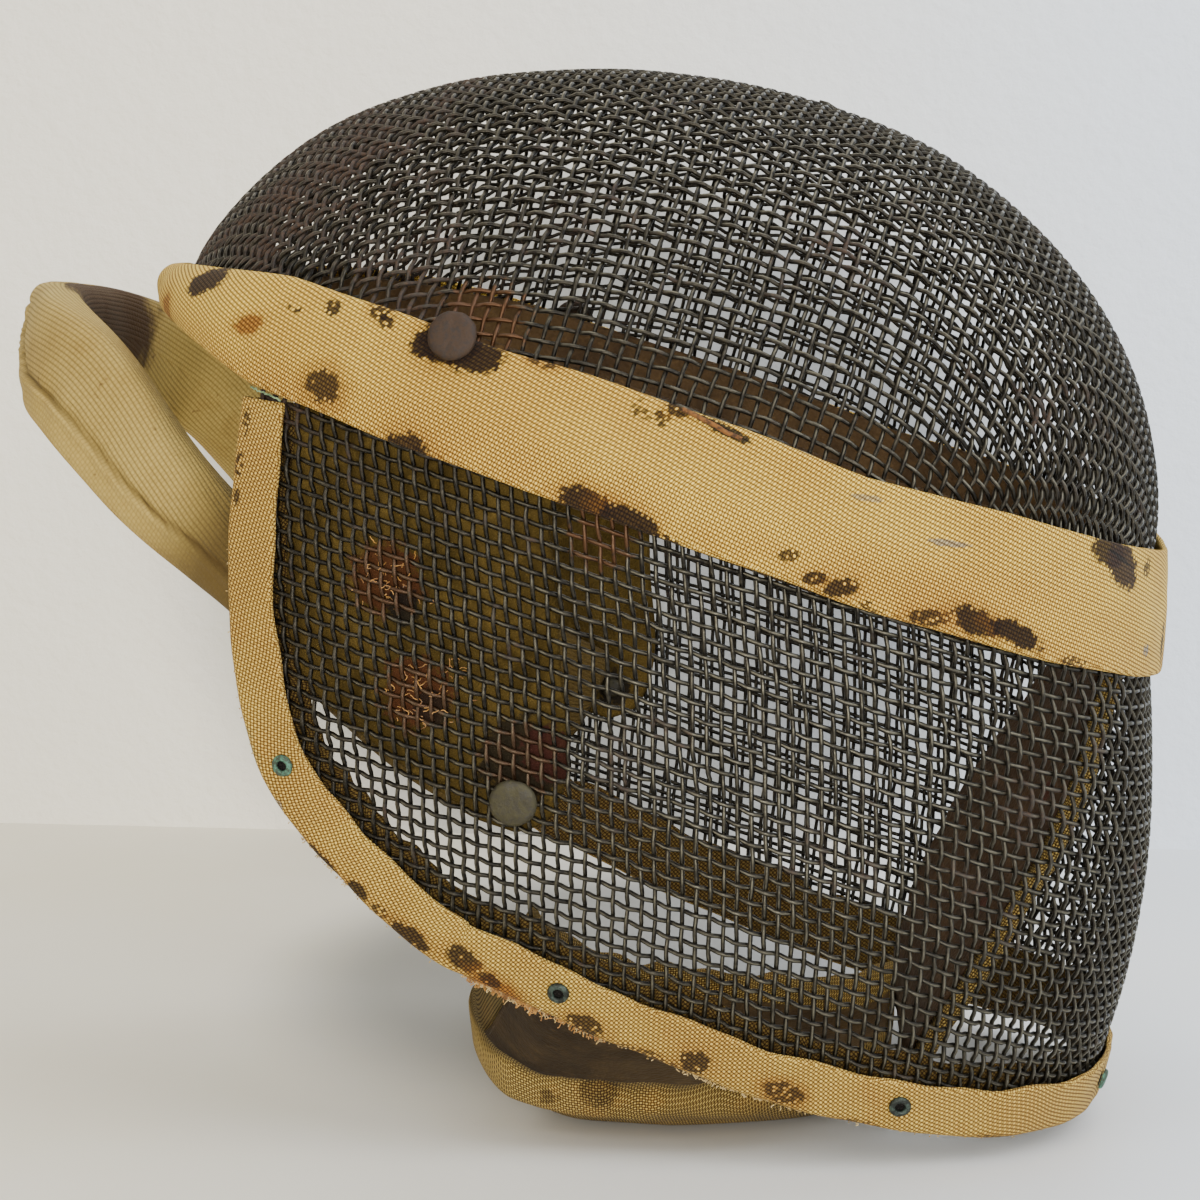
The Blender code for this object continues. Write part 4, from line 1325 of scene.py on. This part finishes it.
def temple_pads():
    """The rough leather pads inside the mesh at the temples."""
    rows = smooth_curve(((-8.2, -64.5, -9.0), *TEMPLE_PAD), 64)
    rows[:, 1] -= 6.0 * smoothly(-76.0, -54.0, rows[:, 0])
    places = flat_section(30, 5)
    far = lengths(rows)
    end = np.minimum(far, far[-1] - far)
    for side, word in ((1.0, "right"), (-1.0, "left")):
        half_wide = (rows[:, 2] - rows[:, 1]) / 2.0
        half_thick = 1.3 * np.sqrt(1.0 - (1.0 - np.minimum(1.0, end / 2.6)) ** 2)
        share = (half_thick / half_wide)[:, None]
        across = places[:, 0] * (1.0 - share) + places[:, 1] * share
        along = ((rows[:, 1] + rows[:, 2]) / 2.0)[:, None] + half_wide[:, None] * across
        up = np.broadcast_to(rows[:, :1], along.shape)
        angle = side * angle_at(along, up)
        here = skin(angle, up)
        off = -3.65 + places[:, 2] * half_thick[:, None] + 0.22 * unevenness(here, 15.0, 51)
        points = to_world(here + outward(angle, up) * off[..., None])
        surface = np.stack([along, up], -1)
        pad = form(f"temple_pad_felt_{word}", points, own_cloth(points), surface, PAD_FELT)
        keep(pad, "brown_leather", f"temple_pad_{word}")


def strap_rows(count):
    """The strap's stations from the left temple round the back to the right, and their axes."""
    half = smooth_curve(STRAP, count)
    left = half.copy()
    part = np.linspace(0.0, 1.0, count)
    bend = smoothly(0.30, 0.70, part)
    left[:, 2] -= STRAP_SAG * np.sin(math.pi * part) + STRAP_DROOP * bend
    left[:, 3] += STRAP_FULLER * bend
    rows = np.concatenate([left[:0:-1], half * (1.0, -1.0, 1.0, 1.0, 1.0, 1.0)])
    centre = rows[:, :3]
    run = unit(np.gradient(centre, axis=0))
    lean = np.radians(rows[:, 5])
    wide = np.stack([np.sin(lean), lean * 0.0, np.cos(lean)], -1)
    thick = unit(np.cross(run, wide))
    return centre, unit(np.cross(thick, run)), thick, rows[:, 3], rows[:, 4]


def neck_strap():
    """The padded strap: filled, then sewn with one seam that parts its ribbed face from its border."""
    centre, wide, thick, half_wide, half_thick = strap_rows(48)
    slack = 0.6
    turn = np.linspace(-math.pi / 2.0, 1.5 * math.pi, 33)
    cos, sin = np.cos(turn), np.sin(turn)
    a = np.sign(cos) * np.abs(cos) ** 0.56 * (half_wide[:, None] - slack * 0.3)
    b = np.sign(sin) * np.abs(sin) ** 0.56 * np.maximum(1.6, half_thick - slack)[:, None]
    points = centre[:, None] + wide[:, None] * a[..., None] + thick[:, None] * b[..., None]
    points[:, -1] = points[:, 0]
    cloth = own_cloth(points)
    cloth[..., 0] -= cloth[len(cloth) // 2, 0, 0]
    strap = form("strap_padding", points, cloth, cloth, STRAP_CANVAS)
    plump(strap, 4.0, 1.6)
    subdivided(strap, 2)
    place = coordinates(strap.data)
    centre, wide, thick, half_wide, half_thick = strap_rows(240)
    nearest = np.concatenate([
        np.argmin(((part[:, None] - centre[None]) ** 2).sum(-1), axis=1)
        for part in np.array_split(place, 12)
    ])
    away = place - centre[nearest]
    across = np.sum(away * wide[nearest], -1)
    over = np.sum(away * thick[nearest], -1)
    far = lengths(centre)
    far = (far - far[-1] / 2.0)[nearest]
    outer = smoothly(0.5, 2.5, over)
    climb = smoothly(50.0, 16.0, np.abs(far)) * (2.0 * half_wide[nearest] - 12.5)
    seam = -half_wide[nearest] + 9.0 + climb + 0.3 * unevenness(place, 30.0, 61)
    groove = np.exp(-(((across - seam) / 0.75) ** 2)) * 1.15
    piping = np.exp(-(((across - seam + 1.7) / 0.95) ** 2)) * 0.75
    border = smoothly(seam - 1.2, seam - 3.4, across) * 0.5
    near_seam = np.exp(-(((across - seam) / 4.0) ** 2))
    puckers = unevenness(np.stack([far, across * 0.35], -1), 7.0, 63) * 0.28 * near_seam
    rumple = unevenness(place, 22.0, 67) * 0.35
    move = (piping - groove - border + puckers) * outer + rumple
    move *= np.where(over > 0, 1.0, -0.5)
    set_coordinates(strap.data, place + thick[nearest] * move[:, None])
    ribbed = 1.0 - smoothly(seam + 0.2, seam - 1.0, across) * outer
    # Where the strap's inner side is darkened at the back: partly a sweat stain, partly painted shade of
    # its inner hollow.
    worn = smoothly(50.0, 14.0, np.abs(far)) * smoothly(0.5, -2.5, over)
    stitched = np.exp(-(((across - seam) / 0.6) ** 2)) * outer
    # How far the strap runs inside the mask, for its painted shade there.
    within = smoothly(96.0, 116.0, np.abs(far)) * 0.93
    for name, values in (("ribbed", ribbed), ("worn", worn), ("within", within), ("stitched", stitched)):
        layer = strap.data.attributes.new(name, "FLOAT", "POINT")
        layer.data.foreach_set("value", values.astype(np.float32))
    keep(strap, "cream_canvas", "neck_strap")


def bib_under(rows, across):
    """The bib's underside, which lifts towards its edges."""
    lift = rows[:, 3:4] * np.maximum(0.0, (np.abs(across) - 0.5) / 0.5) ** 2
    return np.maximum(0.0, rows[:, 1:2]) + lift


def bib():
    """The bib: a soft canvas trough with a puckered roll round its edge, and its leather lining."""
    rows = smooth_curve(BIB, 64)
    far = lengths(rows[:, :2])
    places = flat_section(34, 7)
    half_wide = rows[:, 2:3]
    flat_across = np.broadcast_to(places[:, 0], (len(rows), len(places)))
    from_edge = np.minimum(half_wide * (1.0 - np.abs(flat_across)), far[:, None])
    rolled = smoothly(8.5, 2.5, from_edge)
    half_thick = 2.0 + 2.5 * rolled
    end = np.sqrt(1.0 - (1.0 - np.minimum(1.0, far / 3.7)) ** 2)[:, None]
    front = np.sqrt(1.0 - (1.0 - np.minimum(1.0, (far[-1] - far) / 2.2)) ** 2)[:, None]
    share = half_thick / half_wide
    across = places[:, 0] * (1.0 - share) + places[:, 1] * share
    under = bib_under(rows, across)
    height = under + half_thick + places[:, 2] * half_thick * end * front
    along = np.broadcast_to(rows[:, :1], height.shape)
    points = np.stack([along, half_wide * across, height], -1)
    pucker = unevenness(points, 10.0, 71) * rolled + unevenness(points, 26.0, 73) * 0.35
    points[..., 2] += pucker * (places[:, 2] > -0.9)
    points[..., 1] += unevenness(points, 12.0, 79) * 0.7 * rolled
    canvas_form = form("bib_canvas", points, own_cloth(points), own_cloth(points), BIB_CANVAS)
    place = coordinates(canvas_form.data)
    held = np.flatnonzero((np.abs(place[:, 1]) < 40.0) & (place[:, 0] > -8.0))
    plump(canvas_form, 3.0, 0.9, held)
    subdivided(canvas_form, 1)
    place = coordinates(canvas_form.data)
    place[:, 2] = np.maximum(place[:, 2], 0.02)
    set_coordinates(canvas_form.data, place)
    keep(canvas_form, "cream_canvas", "throat_bib")

    rows = rows[7:-2]
    places = flat_section(40, 3)
    half_wide = rows[:, 2:3] - 6.5
    across = places[:, 0] * (1.0 - 0.5 / half_wide) + places[:, 1] * 0.5 / half_wide
    share = across * half_wide / rows[:, 2:3]
    height = bib_under(rows, share) + 4.8 + places[:, 2] * 0.5
    along = np.broadcast_to(rows[:, :1], height.shape)
    points = np.stack([along, half_wide * across, height], -1)
    points[..., 2] += 0.25 + 0.25 * unevenness(points, 22.0, 83)
    lining = form("bib_leather", points, own_cloth(points), own_cloth(points), TAUPE_LEATHER)
    keep(lining, "brown_leather", "bib_lining")


def chin_strip(name, off, half_thick, narrower, trim, finish, slot, node):
    """A strip up from the bib to the band's inside, some way off the pad's middle sheet."""
    rows = smooth_curve([(x, z, 0.0) for x, z in CHIN_PAD], 74)
    part = np.linspace(0.0, 1.0, len(rows))[:, None]
    run = unit(np.gradient(rows[:, [0, 2, 1]], axis=0))
    half = CHIN_PAD_HALF + (CHIN_PAD_HALF_AT_TOP - CHIN_PAD_HALF) * part - narrower
    across = unit(np.concatenate([
        CHIN_PAD_SKEW * np.sin(math.pi * part), 0.0 * part - CHIN_PAD_HALF, 0.0 * part,
    ], axis=1))
    back = np.cross(run, across)
    back = unit(back * -np.sign(back[:, :1]))
    middle = rows[:, [0, 2, 1]] + back * off
    rows = slice(trim, len(middle) - trim)
    middle, back, across, half = middle[rows], back[rows], across[rows], half[rows]
    places = flat_section(30, 7)
    far = lengths(middle)
    end = np.sqrt(1.0 - (1.0 - np.minimum(1.0, np.minimum(far, far[-1] - far) / 2.0)) ** 2)[:, None]
    share = half_thick / half
    aside = half * (places[:, 0] * (1.0 - share) + places[:, 1] * share)
    points = middle[:, None] + across[:, None] * aside[..., None]
    bulge = places[:, 2] * half_thick * end
    puckers = unevenness(points, 7.0, 97) * (np.abs(aside) / half) ** 4
    bulge = bulge + 0.35 * unevenness(points, 18.0, 91) + 0.25 * puckers
    points = points + back[:, None] * bulge[..., None]
    piece = form(name, points, own_cloth(points), own_cloth(points), finish)
    return keep(piece, slot, node)


def chin_pad():
    pad = chin_strip("chin_pad_canvas", 0.0, 2.1, 0.3, 0, BIB_CANVAS, "cream_canvas", "chin_pad")
    lining = chin_strip(
        "chin_pad_leather", 3.2, 0.5, 3.5, 3, CHIN_LEATHER, "brown_leather", "chin_pad_lining")


# Rivets, eyelets and small things


def turned(name, profile, centre, out, finish, slot, node, steps=36, dents=0.0, seed=0):
    """A small round piece: a profile of (radius, height), spun and set on the shell."""
    mesh = bmesh.new()
    verts = [mesh.verts.new((radius * MM, 0.0, height * MM)) for radius, height in profile]
    edges = [mesh.edges.new(pair) for pair in zip(verts, verts[1:])]
    if profile[0][0] > 0.0:
        edges.append(mesh.edges.new((verts[-1], verts[0])))
    bmesh.ops.spin(
        mesh, geom=verts + edges, cent=(0.0, 0.0, 0.0), axis=(0.0, 0.0, 1.0), angle=2.0 * math.pi,
        steps=steps, use_merge=True, use_duplicate=False,
    )
    bmesh.ops.remove_doubles(mesh, verts=mesh.verts[:], dist=1e-6)
    bmesh.ops.recalc_face_normals(mesh, faces=mesh.faces[:])
    if mesh.calc_volume(signed=True) < 0.0:
        bmesh.ops.reverse_faces(mesh, faces=mesh.faces[:])
    if dents:
        place = np.array([vert.co for vert in mesh.verts]) / MM
        for vert, dent in zip(mesh.verts, unevenness(place, 3.0, seed) * dents):
            vert.co += vert.normal * dent * MM
    stand = Vector(out).to_track_quat("Z", "Y").to_matrix().to_4x4()
    bmesh.ops.transform(mesh, matrix=Matrix.Translation(Vector(centre) * MM) @ stand, verts=mesh.verts[:])
    return keep(piece_of(mesh, name, finish), slot, *node)


def seat_of(angle, up, off):
    """A world place so far off the skin, and the way out of it."""
    here, out = skin(angle, up), outward(angle, up)
    centre = to_world(here + out * off)
    return centre, to_world(here + out * (off + 1.0)) - centre


# Sections of the turned pieces: radius and height, from the middle outwards.
RIVET_HEAD = (
    (0.0, 1.45), (2.6, 1.5), (4.3, 1.4), (4.9, 1.05), (5.2, 0.55), (5.1, 0.1), (4.6, 0.0), (0.0, 0.0),
)
RIVET_END = ((0.0, 1.2), (1.5, 1.15), (2.3, 0.8), (2.6, 0.3), (2.6, 0.0), (0.0, 0.0))
EYELET_RING = (
    (1.1, 0.0), (1.1, 0.5), (1.3, 0.8), (1.7, 0.9), (2.1, 0.78), (2.4, 0.42), (2.45, 0.0),
)


def rivets():
    for side, word in ((1.0, "right"), (-1.0, "left")):
        for name, (along, up), off, finish in (
            ("upper_rivet", UPPER_RIVET, 2.9, RUSTY_STEEL), ("lower_rivet", LOWER_RIVET, 0.35, DULL_STEEL),
        ):
            centre, out = seat_of(side * angle_at(along, up), up, off)
            turned(f"{name}_head_{word}", RIVET_HEAD, centre, out, finish, "rivet_steel",
                   (f"{name}_{word}",), dents=0.10, seed=len(name + word))
        along, up = LOWER_RIVET
        centre, out = seat_of(side * angle_at(along, up), up, -5.0)
        turned(f"lower_rivet_end_{word}", RIVET_END, centre, -out, DULL_STEEL, "rivet_steel", (),
               dents=0.08)


def eyelet_seats():
    """Each eyelet's number, its side and its place on the mesh."""
    angle, up = rim_line(1600)
    edge, _, _, inwards = rim_frame(angle, up)
    for number, degrees in enumerate(EYELETS):
        for side, word in ((1.0, "right"), (-1.0, "left")):
            k = int(np.argmin(np.abs(angle - side * math.radians(degrees))))
            yield number, word, onto_skin(edge[k] + inwards[k] * 5.25)


def eyelet_holes():
    """Painted shade: the dark open middle of each eyelet, as marks on the binding's canvas."""
    return tuple(
        on_cloth(float(ahead_of(angle_round(here))), float(here[2]), 1.9, 1.9, 0.0, BLACK_STAIN_AND_HOLE_SHADE, 1.0)
        for _, _, here in eyelet_seats()
    )


def eyelets():
    for number, word, here in eyelet_seats():
        normal = normal_at(here)
        centre = to_world(here + normal * 2.2)
        finish = BLACK_BRASS if number in (1, 2) else VERDIGRIS
        turned(f"eyelet_ring_{word}_{number + 1}", EYELET_RING, centre,
               to_world(here + normal * 3.2) - centre, finish, "eyelet_brass",
               (f"eyelet_{word}_{number + 1}",), steps=28, dents=0.05, seed=number)


def loose_thread(chance, start, ray, length, points=5):
    """One thread that wanders as it leaves its root."""
    line = [start]
    for _ in range(points - 1):
        ray = unit(ray + chance.normal(scale=0.42, size=3))
        line.append(line[-1] + ray * length / (points - 1))
    return np.array(line)


# Where the binding's edge is frayed: from and to along the seam, threads, and their longest.
FRAYED = (
    (-193.0, -162.0, 420, 1.9),
    (-190.0, -176.0, 260, 2.5),
    (-232.0, -220.0, 60, 1.3),
    (-149.0, -120.0, 130, 1.3),
    (-261.0, -60.0, 240, 0.7),
)


def frayed_edge():
    """Threads that have come loose along the binding's fold."""
    angle, up = rim_line(2400)
    edge, out, run, inwards = rim_frame(angle, up)
    ahead = ahead_of(angle)
    chance = np.random.default_rng(101)
    lines = {"ochre": [], "cream": []}
    for start, end, count, longest in FRAYED:
        there = np.flatnonzero((ahead > start) & (ahead < end) & (up < -20.0))
        for k in chance.choice(there, size=count):
            root = edge[k] - inwards[k] * 1.7 + out[k] * chance.uniform(-1.6, 1.5)
            ray = -0.6 * inwards[k] + run[k] * chance.normal(scale=1.1) + out[k] * chance.normal(scale=0.7)
            length = longest * chance.uniform(0.35, 1.0)
            kind = "ochre" if longest > 1.5 and chance.random() < 0.75 else "cream"
            lines[kind].append(loose_thread(chance, root, unit(ray), length))
    for kind, finish in (("ochre", OCHRE_YARN), ("cream", CREAM_YARN)):
        keep(rods(f"frayed_threads_{kind}", lines[kind], 0.13, finish, sides=0), "cream_canvas")


# Rusty fibres that hang in the mesh over the temple pad: how far ahead, up, reach and how many.
FIBRES = ((-223.5, -38.0, 8.0, 46), (-212.7, -59.5, 8.5, 54), (-205.0, -52.0, 3.0, 8))


def temple_fibres():
    chance = np.random.default_rng(113)
    lines = []
    for ahead, up, reach, count in FIBRES:
        for _ in range(count):
            angle = angle_of(ahead + chance.normal(scale=reach * 0.42))
            height = up + chance.normal(scale=reach * 0.42)
            root = skin(angle, height) + outward(angle, height) * chance.uniform(-2.0, 0.15)
            level = chance.random() < 0.7
            ray = np.array((1.0, 0.0, 0.05) if level else (0.15, 0.0, 1.0))
            ray += chance.normal(scale=0.25, size=3)
            lines.append(loose_thread(chance, root, unit(ray), chance.uniform(0.8, 2.4)))
    keep(rods("temple_fibres", lines, 0.10, OCHRE_YARN, sides=0), "brown_leather")


def torn_edge_wire():
    """The rusted wire that shows through the band's torn top edge."""
    part = np.linspace(0.0, 1.0, 26)
    angle = angle_of(-173.6 + 14.6 * part)
    up = 15.3 - 2.2 * part
    line = skin(angle, up) + outward(angle, up) * 2.55
    line += np.stack([unevenness(line, 4.0, 121 + k) for k in range(3)], -1) * 0.16
    keep(rods("torn_edge_wire", [line], WIRE_RADIUS, RUSTY_WIRE, sides=3), "steel_wire")


def green_thread():
    """A green sewing thread where the binding goes under the band."""
    chance = np.random.default_rng(131)
    part = np.linspace(0.0, 1.0, 22)
    angle = angle_of(-261.5 + 8.5 * part)
    low, _ = band_edges(angle)
    line = skin(angle, low - 0.3) + outward(angle, low - 0.3) * 2.35
    line += chance.normal(scale=0.10, size=line.shape)
    keep(rods("green_thread", [line], 0.20, GREEN_YARN, sides=1), "cream_canvas")


# Floor, light and camera


def plain_sheet(name, size, finish, place=None):
    mesh = bmesh.new()
    bmesh.ops.create_grid(mesh, x_segments=1, y_segments=1, size=size)
    if place is not None:
        bmesh.ops.transform(mesh, matrix=place, verts=mesh.verts[:])
    piece = piece_of(mesh, name, finish)
    return piece


SOFT_SHADE = (0.38, 0.39, 0.41)
# The middle and the reach of the shade on the table and on the wall, in metres.
TABLE_SHADE = ((-0.01, 0.12, 0.0), (0.11, 0.17, 1.0))
WALL_SHADE = ((-0.035, WALL_AWAY, 0.105), (0.175, 1.0, 0.165))


def in_shade(nodes, links, colour, place, middle, reach):
    """The mask's own soft shade on what stands behind it, painted round a place of the world."""
    away = vector_maths(nodes, links, "SUBTRACT", place, middle)
    away = vector_maths(nodes, links, "DIVIDE", away, reach)
    near = spread(nodes, links, vector_maths(nodes, links, "LENGTH", away), 1.0, 0.55)
    return mix(nodes, links, near, colour, SOFT_SHADE, "MULTIPLY")


def table_paint():
    """Pale paint, with painted light: warmer on the left, as from the warm room lamp, and cooler on the
    right, as from the window.
    """
    made, nodes, links, bsdf = new_material("pale table")
    place = object_place(nodes)
    split = nodes.new("ShaderNodeSeparateXYZ")
    links.new(place, split.inputs[0])
    # Painted light: the colour runs from warm on the left to cool on the right.
    aside = spread(nodes, links, split.outputs[0], -0.15, 0.18)
    tone = spread(nodes, links, noise(nodes, links, place, 6.0, 4.0), 0.3, 0.7, 0.0, 0.3)
    paint = mix(nodes, links, aside, (0.74, 0.69, 0.56), (0.80, 0.83, 0.86))
    paint = mix(nodes, links, tone, paint, (0.84, 0.82, 0.78))
    links.new(in_shade(nodes, links, paint, place, *TABLE_SHADE), bsdf.inputs["Base Color"])
    bsdf.inputs["Roughness"].default_value = 0.5
    return made


def wall_paint():
    """Rough white plaster, with painted light: warmer on the left and cooler on the right. From behind it
    lets light and the eye through.
    """
    made, nodes, links, bsdf = new_material("pale wall")
    place = object_place(nodes)
    split = nodes.new("ShaderNodeSeparateXYZ")
    links.new(place, split.inputs[0])
    # Painted light: the colour runs from warm on the left to cool on the right.
    aside = spread(nodes, links, split.outputs[0], -0.15, 0.20)
    paint = mix(nodes, links, aside, (0.96, 0.915, 0.80), (0.82, 0.88, 0.96))
    links.new(in_shade(nodes, links, paint, place, *WALL_SHADE), bsdf.inputs["Base Color"])
    bsdf.inputs["Roughness"].default_value = 0.9
    bump(nodes, links, bsdf, noise(nodes, links, place, 160.0, 5.0, 0.6), 0.002, 0.5)
    clear = nodes.new("ShaderNodeBsdfTransparent")
    side = nodes.new("ShaderNodeNewGeometry")
    both = nodes.new("ShaderNodeMixShader")
    links.new(side.outputs["Backfacing"], both.inputs[0])
    links.new(bsdf.outputs[0], both.inputs[1])
    links.new(clear.outputs[0], both.inputs[2])
    links.new(both.outputs[0], nodes["Material Output"].inputs["Surface"])
    return made


# Each light's place and aim in metres, its size, power and colour.
LIGHTS = (
    ("window", (0.95, -0.55, 0.85), (0.0, 0.0, 0.1), 0.9, 15.0, (0.93, 0.96, 1.0)),
    ("room", (-0.7, -1.1, 0.6), (0.0, 0.0, 0.1), 1.0, 7.0, (1.0, 0.94, 0.82)),
    ("front", (0.17, -1.38, 0.30), (0.0, 0.0, 0.13), 0.3, 12.0, (1.0, 0.97, 0.91)),
    ("above", (0.1, -0.1, 1.2), (0.0, 0.05, 0.1), 0.9, 7.0, (1.0, 0.99, 0.96)),
)


def stage():
    plain_sheet("floor", 3.0, table_paint())
    upright = Matrix.Translation((0.0, WALL_AWAY, 0.0)) @ Matrix.Rotation(math.radians(90.0), 4, "X")
    plain_sheet("wall", 3.0, wall_paint(), upright)
    world = bpy.data.worlds.new("soft room")
    bpy.context.scene.world = world
    world.use_nodes = True
    sky = world.node_tree.nodes["Background"]
    sky.inputs[0].default_value = (0.95, 0.955, 0.97, 1.0)
    sky.inputs[1].default_value = 0.50
    for name, place, aim, size, power, colour in LIGHTS:
        light = bpy.data.lights.new(name, "AREA")
        light.size = size
        light.energy = power
        light.color = colour
        lamp = bpy.data.objects.new(name, light)
        lamp.location = place
        lamp.rotation_euler = (Vector(aim) - Vector(place)).to_track_quat("-Z", "Y").to_euler()
        bpy.context.scene.collection.objects.link(lamp)


def camera():
    data = bpy.data.cameras.new("camera")
    data.lens = CAMERA_LENS
    data.sensor_width = 36.0
    made = bpy.data.objects.new("camera", data)
    flat = math.cos(CAMERA_ELEVATION)
    back = Vector((
        math.sin(CAMERA_AZIMUTH) * flat, -math.cos(CAMERA_AZIMUTH) * flat, math.sin(CAMERA_ELEVATION),
    ))
    made.location = CAMERA_AIM + back * CAMERA_DISTANCE
    made.rotation_euler = (-back).to_track_quat("-Z", "Y").to_euler()
    bpy.context.scene.collection.objects.link(made)
    bpy.context.scene.camera = made


RUST = (0.085, 0.034, 0.010)
WIRE_RUST = (
    in_space(spot(-223.5, -38.0), 8.0, RUST, 0.45),
    in_space(spot(-212.7, -59.5), 8.0, RUST, 0.45),
    in_space(spot(-221.6, 20.0), 9.0, RUST, 0.7),
    in_space(spot(-180.0, -14.0), 7.0, RUST, 0.7),
    in_space(spot(-189.0, -66.0), 8.0, RUST, 0.4),
)
PAD_STAINS = (
    in_space(spot(-189.0, -67.0, -2.4), 9.5, BLACK_STAIN_AND_HOLE_SHADE, 0.85),
    in_space(spot(-183.5, -63.5, -2.4), 6.0, (0.045, 0.014, 0.010), 0.9),
    in_space(spot(-223.5, -38.0, -2.4), 7.5, (0.070, 0.024, 0.010), 0.9),
    in_space(spot(-219.0, -43.0, -2.4), 4.0, BLACK_STAIN_AND_HOLE_SHADE, 0.9),
    in_space(spot(-212.7, -59.5, -2.4), 7.5, (0.075, 0.026, 0.011), 0.9),
    in_space(spot(-209.0, -62.0, -2.4), 4.0, BLACK_STAIN_AND_HOLE_SHADE, 0.8),
    in_space(tuple(to_world(np.array((1.0, 87.0, -75.0))) * MM), 6.0, BLACK_STAIN_AND_HOLE_SHADE, 0.95),
)
BIB_STAINS = (
    in_space((0.0081, -0.0595, 0.0141), 4.6, BROWN_STAIN, 0.55),
    in_space((-0.0040, -0.0595, 0.0105), 2.6, BROWN_STAIN, 0.6),
    in_space((0.0300, -0.0580, 0.0050), 3.0, BROWN_STAIN, 0.35),
)
CHIN_STAINS = (
    in_space((0.0905, -0.0180, 0.0500), 3.4, (0.060, 0.014, 0.006), 0.85),
    in_space((0.1060, -0.0180, 0.0760), 2.6, (0.060, 0.014, 0.006), 0.8),
)

STAIN = stain_group()
WEAVE = weave_group()
BAND_CANVAS = canvas(
    "band canvas", (0.85, 0.59, 0.095), (0.70, 0.44, 0.066), (1667.0, 1136.0), BAND_STAINS, 0.25, 0.75)
BINDING_CANVAS = canvas(
    "binding canvas", (0.68, 0.475, 0.095), (0.51, 0.315, 0.060), (1500.0, 1180.0),
    BINDING_STAINS + eyelet_holes(), 0.55)
STRAP_CANVAS = ribbed_canvas("strap canvas", (0.46, 0.335, 0.098), (0.36, 0.245, 0.064), 870.0, 1150.0)
BIB_CANVAS = canvas(
    "bib canvas", (0.31, 0.22, 0.062), (0.20, 0.128, 0.032), (1500.0, 1500.0), BIB_STAINS, 0.45,
    solid=True)
BAND_LEATHER = leather("band leather", (0.046, 0.024, 0.008), (0.110, 0.062, 0.022))
PAD_FELT = leather("pad felt", (0.044, 0.028, 0.0060), (0.105, 0.068, 0.0165), PAD_STAINS, felt=True)
CHIN_LEATHER = leather("chin leather", (0.024, 0.0115, 0.0042), (0.058, 0.030, 0.0105), CHIN_STAINS)
TAUPE_LEATHER = leather("taupe leather", (0.040, 0.022, 0.006), (0.090, 0.053, 0.016))
STEEL = wire_steel("darkened steel wire", WIRE_RUST)
RUSTY_STEEL = old_metal("rusty steel", (0.034, 0.016, 0.0055), (0.014, 0.0062, 0.0023), 0.2, 0.72)
DULL_STEEL = old_metal("dull steel", (0.046, 0.040, 0.017), (0.018, 0.014, 0.005), 0.4, 0.6, 600.0)
VERDIGRIS = old_metal("verdigris", (0.04, 0.055, 0.036), (0.062, 0.18, 0.12), 0.3, 0.7, 700.0)
BLACK_BRASS = old_metal("blackened brass", (0.013, 0.016, 0.012), (0.025, 0.045, 0.032), 0.5, 0.5, 700.0)
RUSTY_WIRE = old_metal("rusted wire", (0.20, 0.080, 0.016), (0.050, 0.020, 0.006), 0.1, 0.9, 800.0)
OCHRE_YARN = yarn("ochre threads", (0.20, 0.080, 0.012), (0.48, 0.24, 0.045))
CREAM_YARN = yarn("cream threads", (0.38, 0.25, 0.08), (0.66, 0.50, 0.22))
GREEN_YARN = yarn("green thread", (0.06, 0.12, 0.05), (0.20, 0.30, 0.14))

wire_mesh()
brow_band()
inner_band()
rim_binding()
temple_pads()
neck_strap()
bib()
chin_pad()
rivets()
eyelets()
frayed_edge()
temple_fibres()
torn_edge_wire()
green_thread()
stage()
camera()
